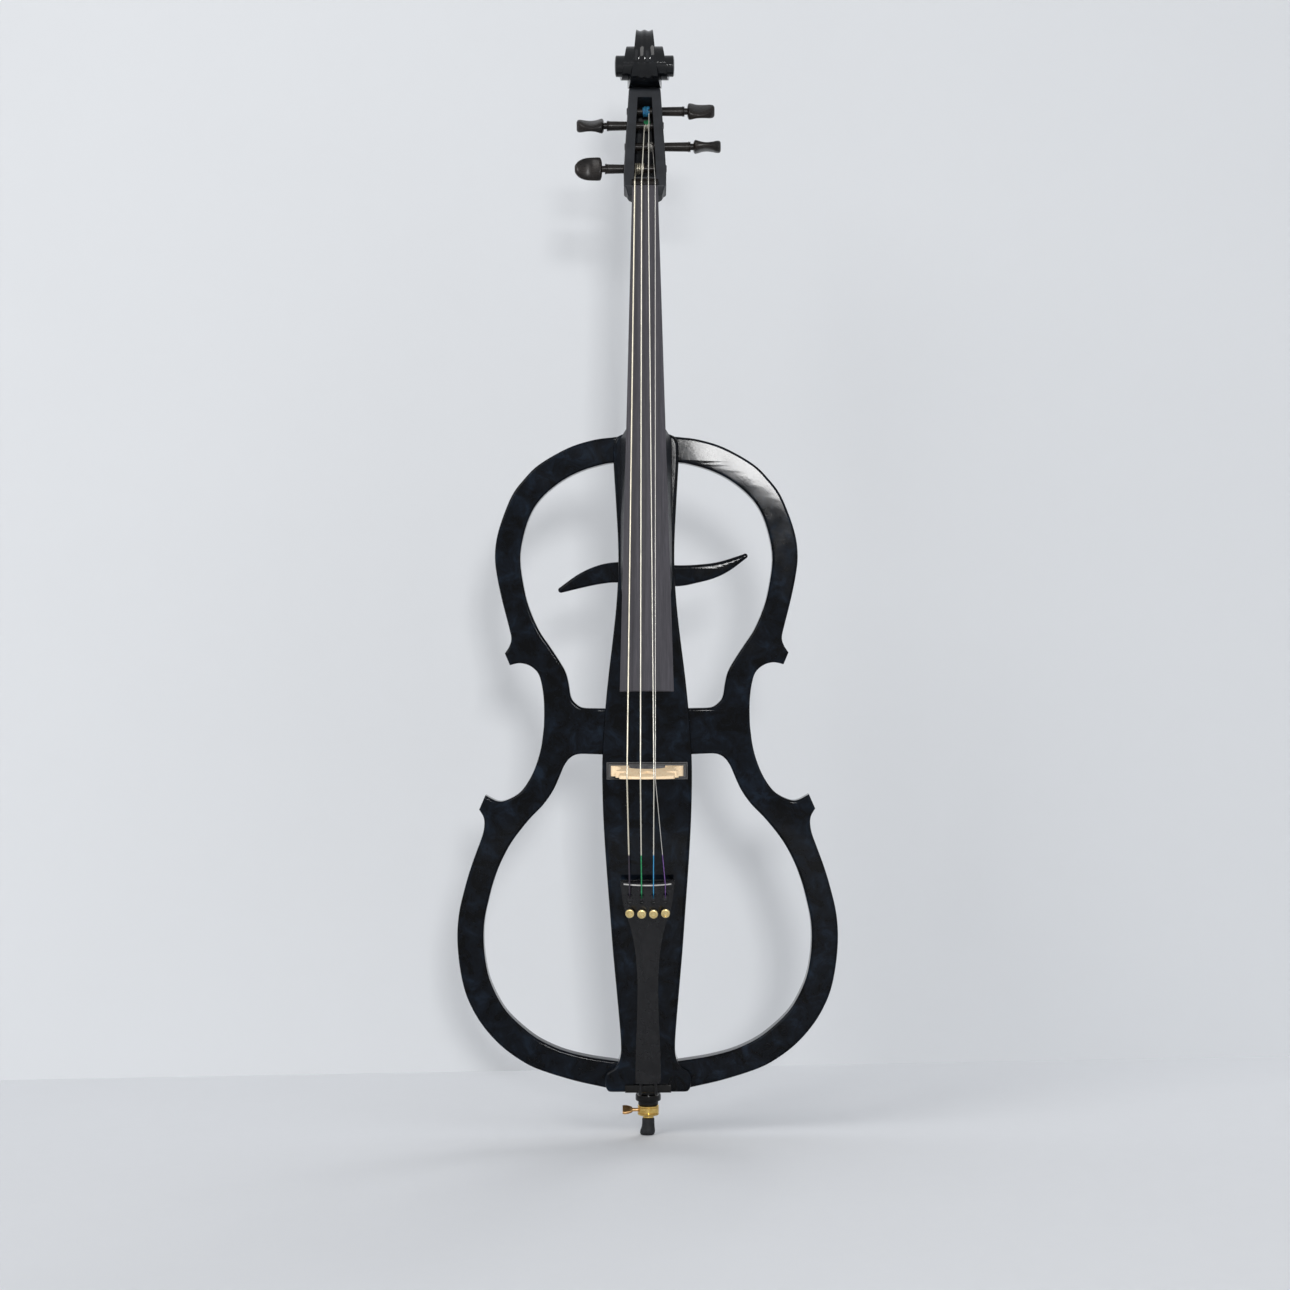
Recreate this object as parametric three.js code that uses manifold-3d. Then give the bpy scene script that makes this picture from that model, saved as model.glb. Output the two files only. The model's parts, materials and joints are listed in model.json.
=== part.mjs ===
// Full-size electric cello with an open lacquered frame, in millimetres.
// The origin is the middle of the end pin's foot, +Z runs up the instrument and its front faces -Y.
import * as THREE from 'three';
import { mergeVertices } from 'three/addons/utils/BufferGeometryUtils.js';
import Module from 'manifold-3d';

// Fits shared by every piece
const clearance = 0.3;
const overrun = 6;
const weld = 0.001;
const roundSides = 14;
const boreSides = 8;
const bevelShare = 0.12;
const turnedSides = 18;
const pegSides = 16;

// End pin, from the floor up
const footHeight = 19.8;
const footRadius = 8.4;
const footTopRadius = 7.2;
const footFlatRadius = 5.5;
const footSocketDepth = 13;
const rodRadius = 4;
const rodLength = 350;
const collarRadius = 12.5;
const collarHeight = 12.4;
const collarLipRadius = 6.4;
const collarLipHeight = 3.2;
const collarBead = 1;
const plugNeckRadius = 11.8;
const plugNeckHeight = 4.6;
const plugFlangeRadius = 14.9;
const plugFlangeHeight = 8.2;
const plugGrooveRadius = 11.4;
const plugGrooveHeight = 4.6;
const plugShaftRadius = 13;
const plugShaftTaper = 1;
const plugShaftLength = 34;
const thumbscrewRadius = 2.3;
const thumbscrewReach = 18.6;
const thumbscrewWing = 11.4;
const thumbscrewWidth = 13;
const thumbscrewThickness = 4;
const thumbscrewTurn = THREE.MathUtils.degToRad(38);

// Body
const bodyLength = 764;
const spineHalf = 52.2;
const spineDepth = 46;
const spineEdge = 4;
const upperHalf = 176.4;
const waistHalf = 119.9;
const waistMiddle = 0.55;
const lowerHalf = 221.8;
const upperCornerShare = 0.904;
const lowerCornerShare = 0.85;
const frameSetback = 11;
const frameThickness = 25;
const frameEdge = 3;
const frameInsert = 9;

// Strings and their supports
const stringLength = 690;
const boardShare = 0.855;
const crownHeight = 77;
const crownRadius = 62;
const crownThickness = 2.8;
const nutSetback = 2.4;
const nutLength = 8;
const nutHalf = 15.2;
const nutDepth = 9;
const nutCrest = 3;
const nutDrop = 0.6;
const nutFall = 7.4;
const nutSpacing = 7.9;
const bridgeSpacing = 15.2;
const slippedSpacing = 1.7;
const stringRadii = { c: 0.85, g: 0.7, d: 0.58, a: 0.42 };

// Fingerboard and neck
const boardTopHalf = 14.9;
const boardEndHalf = 30.9;
const boardRadius = 63;
const boardEdge = 6.4;
const boardHollow = 3.6;
const boardHollowLength = 120;
const gapAtNut = 1.6;
const gapAtEnd = 6;
const neckDepth = 27.5;
const neckGrowth = 4;
const neckShoulder = 0.25;
const rootHalf = 30;
const rootLength = 192;
const rootSweep = 40;
const rootLip = 0.06;
const heelRise = 62;
const heelDepth = 36;
const heelRound = 0.8;

// Pegbox, measured along and behind its own front edge
const headTilt = THREE.MathUtils.degToRad(17);
const headDrop = 5;
const headRise = 10.2;
const pegboxHeight = 111;
const pegboxHalf = 24.9;
const pegboxDepth = 51;
const pegboxEdge = 1.5;
const pegboxRound = 9;
const cavityHalf = 13.3;
const cavityHeight = 103;
const cavityDepth = 42;

// Scroll
const scrollCentreHeight = 147.8;
const scrollCentreDepth = 8;
const scrollRadius = 43.1;
const scrollHalf = 33.8;
const scrollFlute = 1.6;
const scrollDome = 1.4;
const scrollDomeShare = 0.6;
const stepsPerTurn = 18;
const scrollTurns = 2 + 1 / 3;

// Pegs, from the head of each one inwards
const pegLarge = 5.6;
const pegSmall = 4.4;
const pegNeckRadius = 3.9;
const pegNeckLength = 3.4;
const pegRingRadius = 6.3;
const pegRingLength = 3.2;
const pegHeadLength = 32;
const pegHeadHalf = 13.6;
const pegHeadThick = 7.2;
const pegFlush = 1.5;
const windingGap = 0.55;
const loopSteps = 24;
const pegPlan = {
  c: { side: -1, height: 21.8, depth: 24, reach: 50.4, turn: 0, leaves: -10.8, runs: 1, loops: 4 },
  a: { side: 1, height: 49.7, depth: 23, reach: 57.2, turn: 88, leaves: 9, runs: -1, loops: 4 },
  g: { side: -1, height: 75.8, depth: 20, reach: 48.3, turn: 62, leaves: -0.5, runs: 1, loops: 3 },
  d: { side: 1, height: 93.4, depth: 18, reach: 50.3, turn: -52, leaves: 5, runs: -1, loops: 4 },
};

// Bridge in its tray
const bridgePlace = 367;
const bridgeHalf = 42;
const crownHalfShare = 0.752;
const crownCornerShare = 0.05;
const footRiseShare = 0.06;
const footThickness = 12;
const trayHalf = 47.2;
const trayHeight = 20.4;
const trayWall = 1.7;
const trayProud = 1.2;
const trayFloor = 1.2;
const pocketDepth = 4.5;
const pickupThickness = 1;
const pickupHeight = 10;

// Tailpiece
const afterLength = 121.5;
const tailTopHeight = 50;
const tailEndHeight = 14;
const tailGap = 2.6;
const tailHalf = 30.9;
const tailDrop = 8.6;
const tailEdge = 7;
const tailWall = 3.4;
const tailSideWall = 4;
const tailHollowLength = 66;
const tailHollowMargin = 6;
const fretThickness = 1.7;
const fretLength = 2;
const fretInset = 1.2;
const fretHalfShare = 0.9;
const tunerSpacing = 13.6;
const slotTop = 12;
const slotLength = 13;
const slotWidth = 4.4;
const screwPlace = 34.5;
const screwRadius = 1.7;
const knobRadius = 5.1;
const knobHeight = 5.2;
const knobStandoff = 2.6;
const leverWidth = 5;
const leverPivotPlace = 20;
const leverPivotDepth = 13.6;
const leverClawDepth = 7.6;
const leverClawHalf = 3;
const leverClawLength = 3;
const leverArmDepth = 11.5;
const leverArmEnd = 37.2;
const leverThickness = 2.6;
const leverBoss = 2.9;
const clawSlit = 2.4;
const axleRadius = 1.2;
const axleHalf = 27;
const knobBoreDepth = 3.4;
const screwReach = 11.2;

// Tail cord and saddle
const cordRadius = 1.8;
const cordSpread = 8;
const cordHoleDepth = 9;
const cordHolePlace = 5.6;
const saddleHalf = 26.8;
const saddleHeight = 9;
const saddleDepth = 12;
const saddleProud = 5.5;
const saddleRound = 3;

// Chest rest on the back
const restHeight = 602.4;
const restHalf = 118.6;
const restRise = 22.7;
const restThickness = 14;
const restEdge = 3.2;
const restScrewRadius = 2.4;
const restScrewHead = 4.6;
const restScrewSpacing = 34;
const restScrewSink = 3;
const restScrewHeadHeight = 2.6;
const restScrewLength = 30;

// Electronics in the back of the spine
const bayHeight = 232;
const bayHalf = 30;
const bayHalfLength = 60;
const bayDepth = 16;
const bayCorner = 6;
const plateThickness = 3;
const plateMargin = 6;
const plateScrewRadius = 1.6;
const plateScrewHead = 3;
const plateScrewHeadHeight = 1.6;
const plateScrewLength = 10;
const circuitThickness = 1.6;
const circuitPlace = 13;
const circuitHalf = 26;
const circuitHalfLength = 37;
const circuitLift = 1.5;
const circuitPostRadius = 2;
const chipHalf = 5;
const chipHeight = 1.8;
const chipPlace = -10;
const knobPlace = 38;
const knobSpread = 15;
const controlKnobRadius = 8.5;
const controlKnobHeight = 13;
const controlShaftRadius = 3;
const controlShaftHeight = 9;
const controlKnobGap = 0.8;
const controlKnobTaper = 0.8;
const potRadius = 8;
const bushRadius = 4.5;
const switchPlace = 12;
const switchTravel = 3;
const switchNub = 3.4;
const switchNubHeight = 2.6;
const switchHalf = 6;
const switchHalfHeight = 3.4;
const switchWell = 3;
const jackPlace = -34;
const jackSpread = 17;
const jackRadius = 6;
const jackBore = 3.3;
const jackDepth = 24;
const jackFlange = 9;
const jackFlangeHeight = 2;
const phoneRadius = 3.4;
const phoneBore = 1.85;
const phoneDepth = 12;
const phoneFlange = 5;
const phoneFlangeHeight = 1.4;
const jackFloor = 2.5;
const jackRoom = 1;

// Battery bay at the waist
const batteryHeight = 412;
const batteryHalf = 24.2;
const batteryHalfHeight = 13.2;
const batteryThick = 17.4;
const batteryRoom = 1;
const batteryCornerRadius = 2;
const terminalRadius = 3;
const terminalHeight = 2;
const terminalSpacing = 12.7;
const doorThickness = 2.4;
const doorMargin = 3.4;

// Outlines: each pair is a share of a half width and a share of the body's length
const spineShares = [
  [0.8, 0], [0.88, 0.001], [0.935, 0.006], [0.961, 0.014], [0.961, 0.025], [0.9, 0.031], [0.77, 0.036],
  [0.67, 0.044], [0.615, 0.055], [0.602, 0.068], [0.622, 0.095], [0.7, 0.156], [0.778, 0.216],
  [0.844, 0.277], [0.911, 0.338], [0.967, 0.399], [0.992, 0.444], [1, 0.49], [0.978, 0.535],
  [0.917, 0.59], [0.844, 0.638], [0.756, 0.687], [0.678, 0.736], [0.63, 0.786], [0.628, 0.833],
  [0.672, 0.894], [0.722, 0.954], [0.722, 0.98], [0.7, 0.989], [0.63, 0.996], [0.5, 1],
];
const upperOuterShares = [
  [0.224, 0.996], [0.35, 0.992], [0.515, 0.98], [0.706, 0.955], [0.812, 0.931], [0.888, 0.907],
  [0.954, 0.87], [0.99, 0.84], [1, 0.812], [0.987, 0.785], [0.954, 0.748], [0.91, 0.708],
  [0.894, 0.69], [0.907, 0.678], [0.937, 0.667],
];
// Between the corners: a share of the way out from the waist to the nearer corner, and a height
const waistShares = [
  [1, 0.649], [0.706, 0.652], [0.412, 0.648], [0.176, 0.637], [0.067, 0.62], [0.006, 0.596],
  [0, 0.566], [0.044, 0.527], [0.136, 0.497], [0.255, 0.474], [0.415, 0.455], [0.627, 0.444],
  [0.796, 0.442], [1, 0.451],
];

const lowerOuterShares = [
  [0.883, 0.429], [0.861, 0.418], [0.856, 0.406], [0.866, 0.39], [0.895, 0.367], [0.932, 0.337],
  [0.963, 0.306], [0.99, 0.272], [1, 0.237], [0.992, 0.199], [0.969, 0.161], [0.932, 0.131],
  [0.869, 0.1], [0.777, 0.07], [0.672, 0.047], [0.57, 0.032], [0.396, 0.016], [0.262, 0.007],
];
const lowerInnerShares = [
  [0.189, 0.046], [0.32, 0.052], [0.451, 0.062], [0.564, 0.077], [0.646, 0.094], [0.73, 0.117],
  [0.782, 0.139], [0.829, 0.169], [0.852, 0.199], [0.861, 0.23], [0.856, 0.26], [0.834, 0.291],
  [0.806, 0.321], [0.764, 0.352], [0.706, 0.382], [0.622, 0.413], [0.546, 0.436], [0.493, 0.458],
  [0.457, 0.481], [0.436, 0.495], [0.405, 0.507], [0.362, 0.513], [0.29, 0.513],
];
const upperInnerShares = [
  [0.33, 0.583], [0.422, 0.584], [0.468, 0.59], [0.5, 0.6], [0.515, 0.62], [0.535, 0.638],
  [0.581, 0.657], [0.644, 0.679], [0.71, 0.702], [0.769, 0.733], [0.805, 0.763], [0.832, 0.809],
  [0.809, 0.847], [0.756, 0.882], [0.673, 0.908], [0.548, 0.931], [0.416, 0.946], [0.281, 0.955],
  [0.224, 0.957],
];

// The scroll's outline each quarter turn from below its back to its eye
const scrollRadiusShares = [1.09, 1.045, 1, 0.784, 0.617, 0.571, 0.543, 0.462, 0.39, 0.334, 0.29];
const scrollWidthShares = [0.53, 0.414, 0.287, 0.396, 0.58, 0.598, 0.612, 0.725, 0.828, 0.917, 1];

// The pegbox's sections: height, half width, front and back, as shares of its own sizes
const pegboxShares = [
  [-0.19, 0.8, 0.12, 0.5], [-0.115, 0.915, 0, 0.64], [-0.1, 0.99, 0, 0.68], [0.03, 1, 0, 0.88],
  [0.2, 0.964, 0, 1], [0.4, 0.915, 0, 1], [0.63, 0.851, 0, 0.92], [0.83, 0.8, 0, 0.82],
  [1, 0.757, 0, 0.745], [1.063, 0.735, 0.14, 0.765], [1.144, 0.7, 0.34, 0.845],
  [1.234, 0.625, 0.54, 0.98], [1.315, 0.56, 0.66, 1.01],
];
const cavityShares = [
  [-0.044, 1, 0.04], [0.055, 0.98, 0.86], [0.437, 0.86, 1], [0.728, 0.75, 0.9], [1, 0.62, 0.72],
];

// Half of the bridge: shares of its foot's half width and of its height, outside then inside
const bridgeSideShares = [
  [1, 0.045], [0.96, 0.085], [0.8, 0.14], [0.72, 0.23], [0.73, 0.35], [0.83, 0.44], [0.86, 0.49],
];
const bridgeNotchShares = [
  [0.8, 0.53], [0.64, 0.52], [0.53, 0.56], [0.53, 0.63], [0.63, 0.66], [0.74, 0.68],
];
const bridgeArchShares = [[0.5, 0.055], [0.56, 0.11], [0.5, 0.22], [0.3, 0.31], [0, 0.335]];
const bridgeHeartShares = [
  [0, 0.5], [0.13, 0.57], [0.24, 0.65], [0.24, 0.73], [0.13, 0.76], [0, 0.7],
];

// The tailpiece's sections: place down its length, half width, crown drop, back edge
const tailShares = [
  [0, 0.96, 1, 1], [0.012, 1, 1, 1], [0.126, 0.88, 0.95, 1], [0.185, 0.73, 0.85, 0.97],
  [0.25, 0.59, 0.75, 0.93], [0.333, 0.472, 0.66, 0.88], [0.42, 0.41, 0.6, 0.85],
  [0.503, 0.384, 0.56, 0.82], [0.66, 0.4, 0.55, 0.82], [0.82, 0.45, 0.55, 0.82],
  [0.97, 0.476, 0.55, 0.8], [1, 0.45, 0.5, 0.75],
];

// The chest rest's upper edge from left to right, then its lower edge from right to left
const restUpperShares = [
  [-0.857, -0.665], [-0.673, 0.018], [-0.48, 0.463], [-0.286, 0.634], [0, 0.6], [0.284, 0.463],
  [0.51, 0.489], [0.725, 0.634], [0.965, 1.02],
];
const restLowerShares = [
  [1, 0.83], [0.833, 0.181], [0.683, -0.211], [0.51, -0.458], [0.306, -0.639], [0, -0.56],
  [-0.286, -0.436], [-0.437, -0.493], [-0.61, -0.665], [-0.84, -0.95],
];

// A peg head's sections: place along it, half width, half thickness
const pegHeadShares = [
  [0, 0.62, 0.72], [0.05, 0.93, 1], [0.14, 1, 0.95], [0.32, 1, 0.68], [0.5, 0.98, 0.6],
  [0.68, 0.9, 0.72], [0.84, 0.72, 0.92], [0.95, 0.46, 0.95], [1, 0.26, 0.7],
];

// Heights and depths that follow from the sizes above
const collarBase = footHeight;
const scrollEyeRadius = scrollRadius * scrollRadiusShares.at(-1);
const plugBase = collarBase + collarLipHeight + collarHeight;
const bodyBase = plugBase + plugNeckHeight + plugFlangeHeight + plugGrooveHeight + clearance;
const bodyTop = bodyBase + bodyLength;
const spineFront = -spineDepth / 2;
const spineBack = spineDepth / 2;
const crownFront = spineFront - crownHeight;
const nutFront = spineFront + nutSetback;
const crownPlace = bodyBase + bridgePlace + crownThickness / 2;
const tailPlace = crownPlace - afterLength;
const tailRun = tailPlace - bodyBase - saddleHeight - tailGap;
const tailLength = Math.hypot(tailRun, tailTopHeight - tailEndHeight);
const boardLength = stringLength * boardShare;
const stringRise = crownHeight + nutSetback;
const stringRun = Math.sqrt(stringLength ** 2 - stringRise ** 2);
const nutPlace = crownPlace + stringRun;
const boardTop = nutPlace - clearance;
const stringSlope = stringRise / stringRun;
const boardAngle = Math.atan2(boardLength * stringSlope - gapAtEnd + gapAtNut, boardLength);
const boardFront = nutFront + gapAtNut;
const rodBase = footHeight - footSocketDepth;
const rodTop = rodBase + rodLength;
const trayPlace = bodyBase + bridgePlace + footThickness / 2;
const bridgeBase = spineFront + pocketDepth - trayFloor - pickupThickness - 3 * clearance;

const wasm = await Module();
wasm.setup();

function finish(color, roughness, metalness = 0) {
  return new THREE.MeshStandardMaterial({ color, roughness, metalness });
}

const finishes = {
  lacquer: finish(0x0b1220, 0.12),
  ebony: finish(0x2e2a2c, 0.5),
  board: finish(0x403c40, 0.6),
  maple: finish(0xd9b184, 0.6),
  pale: finish(0xd8d2bd, 0.5),
  brass: finish(0xc9a04a, 0.25, 1),
  paleBrass: finish(0xcfc08d, 0.35, 1),
  steel: finish(0xb9bcc0, 0.3, 1),
  string: finish(0xd5cdb8, 0.35, 0.8),
  rubber: finish(0x2d2f33, 0.85),
  plastic: finish(0x17181a, 0.45),
  circuit: finish(0x1d5a3a, 0.6),
  cell: finish(0x8c9096, 0.45, 0.4),
};

const cello = new THREE.Group();

function add(name, geometry, material, parent = cello) {
  const mesh = new THREE.Mesh(geometry, material);
  mesh.name = name;
  parent.add(mesh);
  return mesh;
}

// Closed meshes and what joins and cuts them
function triangles(list) {
  const geometry = new THREE.BufferGeometry();
  const whole = list.filter(([a, b, c]) => {
    const apart = (p, q) => p.distanceTo(q) > weld;
    return apart(a, b) && apart(b, c) && apart(c, a);
  });
  geometry.setAttribute('position', new THREE.Float32BufferAttribute(
    whole.flatMap(face => face.flatMap(point => [point.x, point.y, point.z])), 3));
  geometry.computeVertexNormals();
  return geometry;
}

function toSolid(geometry) {
  const bare = geometry.clone();
  bare.deleteAttribute('normal');
  bare.deleteAttribute('uv');
  const merged = mergeVertices(bare, weld);
  const corners = Array.from(merged.index.array);
  const whole = corners.filter((_, i) => {
    const [a, b, c] = corners.slice(i - i % 3, i - i % 3 + 3);
    return a !== b && b !== c && c !== a;
  });
  return new wasm.Manifold(new wasm.Mesh({
    numProp: 3,
    vertProperties: new Float32Array(merged.attributes.position.array),
    triVerts: new Uint32Array(whole),
  }));
}

function toGeometry(solid) {
  const { vertProperties, triVerts } = solid.getMesh();
  const geometry = new THREE.BufferGeometry();
  geometry.setAttribute('position', new THREE.Float32BufferAttribute(vertProperties, 3));
  geometry.setIndex(Array.from(triVerts));
  geometry.computeVertexNormals();
  return geometry;
}

function join(...geometries) {
  return toGeometry(geometries.map(toSolid).reduce((whole, next) => whole.add(next)));
}

function cut(geometry, ...tools) {
  return toGeometry(tools.map(toSolid).reduce((left, tool) => left.subtract(tool), toSolid(geometry)));
}

function common(first, second) {
  return toGeometry(toSolid(first).intersect(toSolid(second)));
}

function placed(geometry, { x = 0, y = 0, z = 0, tilt = 0, turn = 0 }) {
  const spot = new THREE.Matrix4().makeTranslation(x, y, z);
  spot.multiply(new THREE.Matrix4().makeRotationX(tilt));
  spot.multiply(new THREE.Matrix4().makeRotationZ(turn));
  return geometry.clone().applyMatrix4(spot);
}

function box(fromX, toX, fromY, toY, fromZ, toZ) {
  const geometry = new THREE.BoxGeometry(toX - fromX, toY - fromY, toZ - fromZ);
  return geometry.translate((fromX + toX) / 2, (fromY + toY) / 2, (fromZ + toZ) / 2);
}

// A solid turned about Z from (radius, height) pairs, counted up its outside
function turned(pairs, sides = roundSides) {
  const profile = pairs.map(pair => new THREE.Vector2(...pair));
  return new THREE.LatheGeometry(profile, sides).rotateX(Math.PI / 2);
}

function rod(radius, fromZ, toZ, sides = roundSides) {
  return turned([[0, fromZ], [radius, fromZ], [radius, toZ], [0, toZ]], sides);
}

// Turned solids laid along X or along Y, pointing to the plus side
function alongX(geometry) {
  return geometry.clone().rotateY(Math.PI / 2);
}

function alongY(geometry) {
  return geometry.clone().rotateX(-Math.PI / 2);
}

// A closed skin over rings that all go anticlockwise seen from the last one
function skin(rings) {
  const faces = [];
  const side = rings[0].length;
  for (let row = 0; row + 1 < rings.length; row++) {
    for (let i = 0; i < side; i++) {
      const next = (i + 1) % side;
      const [low, high] = [rings[row], rings[row + 1]];
      faces.push([low[i], low[next], high[next]], [low[i], high[next], high[i]]);
    }
  }
  const middle = ring => ring.reduce((sum, p) => sum.add(p), new THREE.Vector3()).divideScalar(side);
  const [first, last] = [rings[0], rings.at(-1)];
  const [bottom, top] = [middle(first), middle(last)];
  for (let i = 0; i < side; i++) {
    const next = (i + 1) % side;
    faces.push([first[next], first[i], bottom], [last[i], last[next], top]);
  }
  return triangles(faces);
}

// A level ring with round corners, its front corners and back corners rounded on their own
function roundedRing(half, front, back, height, frontRound, backRound = frontRound, steps = 3) {
  const corners = [
    [half, front, frontRound, -90], [half, back, backRound, 0],
    [-half, back, backRound, 90], [-half, front, frontRound, 180],
  ];
  return corners.flatMap(([x, y, round, from]) => {
    const centreX = x - Math.sign(x) * round;
    const centreY = y === front ? y + round : y - round;
    return Array.from({ length: steps + 1 }, (_, step) => {
      const angle = THREE.MathUtils.degToRad(from + 90 * step / steps);
      return new THREE.Vector3(centreX + round * Math.cos(angle), centreY + round * Math.sin(angle), height);
    });
  });
}

// Places along a smooth line through share pairs
function smooth(shares, steps, toPoint) {
  const points = shares.map(share => toPoint(...share));
  return new THREE.SplineCurve(points).getPoints(steps);
}

function spread(values, place) {
  const curve = new THREE.SplineCurve(values.map((value, i) => new THREE.Vector2(i, value)));
  return curve.getPoint(THREE.MathUtils.clamp(place, 0, 1)).y;
}

// A flat face inside an outline, less its holes
function flat(outline, holes = []) {
  const shape = new THREE.Shape(THREE.ShapeUtils.isClockWise(outline) ? outline.toReversed() : outline);
  holes.forEach(hole => shape.holes.push(new THREE.Path(hole)));
  return shape;
}

// An outline in X and Z pushed along Y
function slab(outline, front, back, edge = 0, holes = []) {
  const shape = flat(outline, holes);
  const geometry = new THREE.ExtrudeGeometry(shape, {
    depth: back - front - 2 * edge,
    bevelEnabled: edge > 0,
    bevelThickness: edge,
    bevelSize: edge,
    bevelOffset: -edge,
    bevelSegments: 2,
  });
  return geometry.rotateX(Math.PI / 2).translate(0, back - edge, 0);
}

// An outline in Y and Z pushed along X
function rib(outline, left, right, holes = []) {
  const geometry = new THREE.ExtrudeGeometry(flat(outline, holes), {
    depth: right - left, bevelEnabled: false });
  const turn = new THREE.Matrix4().makeBasis(
    new THREE.Vector3(0, 1, 0), new THREE.Vector3(0, 0, 1), new THREE.Vector3(1, 0, 0));
  return geometry.applyMatrix4(turn).translate(left, 0, 0);
}

// A round tube through points, square to its ends
function tube(points, radius, sides) {
  const rings = points.map((point, i) => {
    const before = points[Math.max(i - 1, 0)];
    const after = points[Math.min(i + 1, points.length - 1)];
    const along = after.clone().sub(before).normalize();
    const across = new THREE.Vector3(1, 0, 0).addScaledVector(along, -along.x);
    if (across.length() < 0.5) {
      across.set(0, 1, 0).addScaledVector(along, -along.y);
    }
    across.normalize();
    const third = along.clone().cross(across);
    return Array.from({ length: sides }, (_, step) => {
      const angle = 2 * Math.PI * step / sides;
      return point.clone().addScaledVector(across, radius * Math.cos(angle))
        .addScaledVector(third, radius * Math.sin(angle));
    });
  });
  return skin(rings);
}

// Half width of the spine at any height, and its outline for what meets it
const spineLine = smooth(spineShares, 38, (half, height) =>
  new THREE.Vector2(half * spineHalf, bodyBase + height * bodyLength));

function spineOutline(gap) {
  const low = new THREE.Vector2(spineLine[0].x, bodyBase - overrun);
  const high = new THREE.Vector2(spineLine.at(-1).x, bodyTop + overrun);
  const side = [low, ...spineLine, high].map(p => new THREE.Vector2(p.x + gap, p.y));
  const mirrored = side.toReversed().map(p => new THREE.Vector2(-p.x, p.y));
  return [...side, ...mirrored];
}

function spineBlank() {
  const rings = spineLine.map((point, i) => {
    const fromEnd = Math.min(point.y - bodyBase, bodyTop - point.y);
    const inset = Math.max(0, spineEdge - fromEnd);
    const round = spineEdge - Math.sqrt(spineEdge ** 2 - inset ** 2);
    return roundedRing(point.x, spineFront + round, spineBack - round, point.y, spineEdge, spineEdge, 2);
  });
  return skin(rings);
}

function spineHalfAt(height) {
  const above = spineLine.findIndex(point => point.y >= height);
  const [low, high] = [spineLine[Math.max(above - 1, 0)], spineLine[Math.max(above, 1)]];
  return THREE.MathUtils.mapLinear(height, low.y, high.y, low.x, high.x);
}

// A machine screw with its tip at the bottom and its head on top
function screw(shankRadius, headRadius, headHeight, length, gap = 0) {
  const shoulder = length - headHeight;
  return turned([
    [0, -gap], [shankRadius + gap, -gap], [shankRadius + gap, shoulder - gap],
    [headRadius + gap, shoulder - gap], [headRadius + gap, length + gap], [0, length + gap],
  ], boreSides);
}

// Chest rest and its two screws
const restPlace = bodyBase + restHeight;
const restFront = spineBack + clearance;
const restBack = restFront + restThickness;
const restScrewTip = restBack - restScrewSink + restScrewHeadHeight - restScrewLength;

function restScrewAt(side, gap = 0) {
  const blank = screw(restScrewRadius, restScrewHead, restScrewHeadHeight, restScrewLength, gap);
  return placed(alongY(blank), { x: side * restScrewSpacing / 2, y: restScrewTip, z: restPlace });
}

function restScrewHole(side) {
  const well = rod(restScrewHead + clearance, 0, restScrewSink + overrun, boreSides);
  const top = placed(alongY(well), {
    x: side * restScrewSpacing / 2, y: restBack - restScrewSink, z: restPlace });
  return join(restScrewAt(side, clearance), top);
}

function chestRest() {
  const toPoint = (x, z) => new THREE.Vector2(x * restHalf, restPlace + z * restRise);
  const outline = [...smooth(restUpperShares, 12, toPoint), ...smooth(restLowerShares, 14, toPoint)];
  const blank = slab(outline, restFront, restBack, restEdge);
  return cut(blank, restScrewHole(-1), restScrewHole(1));
}

// Control bay, its plate and what the plate carries, all on the back of the spine
const bayPlace = bodyBase + bayHeight;
const bayFloor = spineBack - bayDepth;
const plateFront = spineBack - plateThickness;
const jackSpot = { x: jackSpread, z: bayPlace + jackPlace };
const phoneSpot = { x: -jackSpread, z: bayPlace + jackPlace };
const controlSpots = {
  volume: { x: -knobSpread, z: bayPlace + knobPlace },
  tone: { x: knobSpread, z: bayPlace + knobPlace },
};

function backPanel(half, halfLength, round, front, back, centre) {
  const ring = height => roundedRing(half, centre - halfLength, centre + halfLength, height, round);
  return skin([ring(-back), ring(-front)]).rotateX(Math.PI / 2);
}

function plateScrewSpots() {
  const x = bayHalf + plateMargin / 2;
  const z = bayHalfLength + plateMargin / 2;
  return [-1, 1].flatMap(side => [-1, 1].map(end => ({ x: side * x, z: bayPlace + end * z })));
}

function plateScrewAt(spot, gap = 0) {
  const blank = screw(
    plateScrewRadius, plateScrewHead, plateScrewHeadHeight, plateScrewLength, gap);
  return placed(alongY(blank), {
    ...spot, y: spineBack + clearance + plateScrewHeadHeight - plateScrewLength });
}

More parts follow.
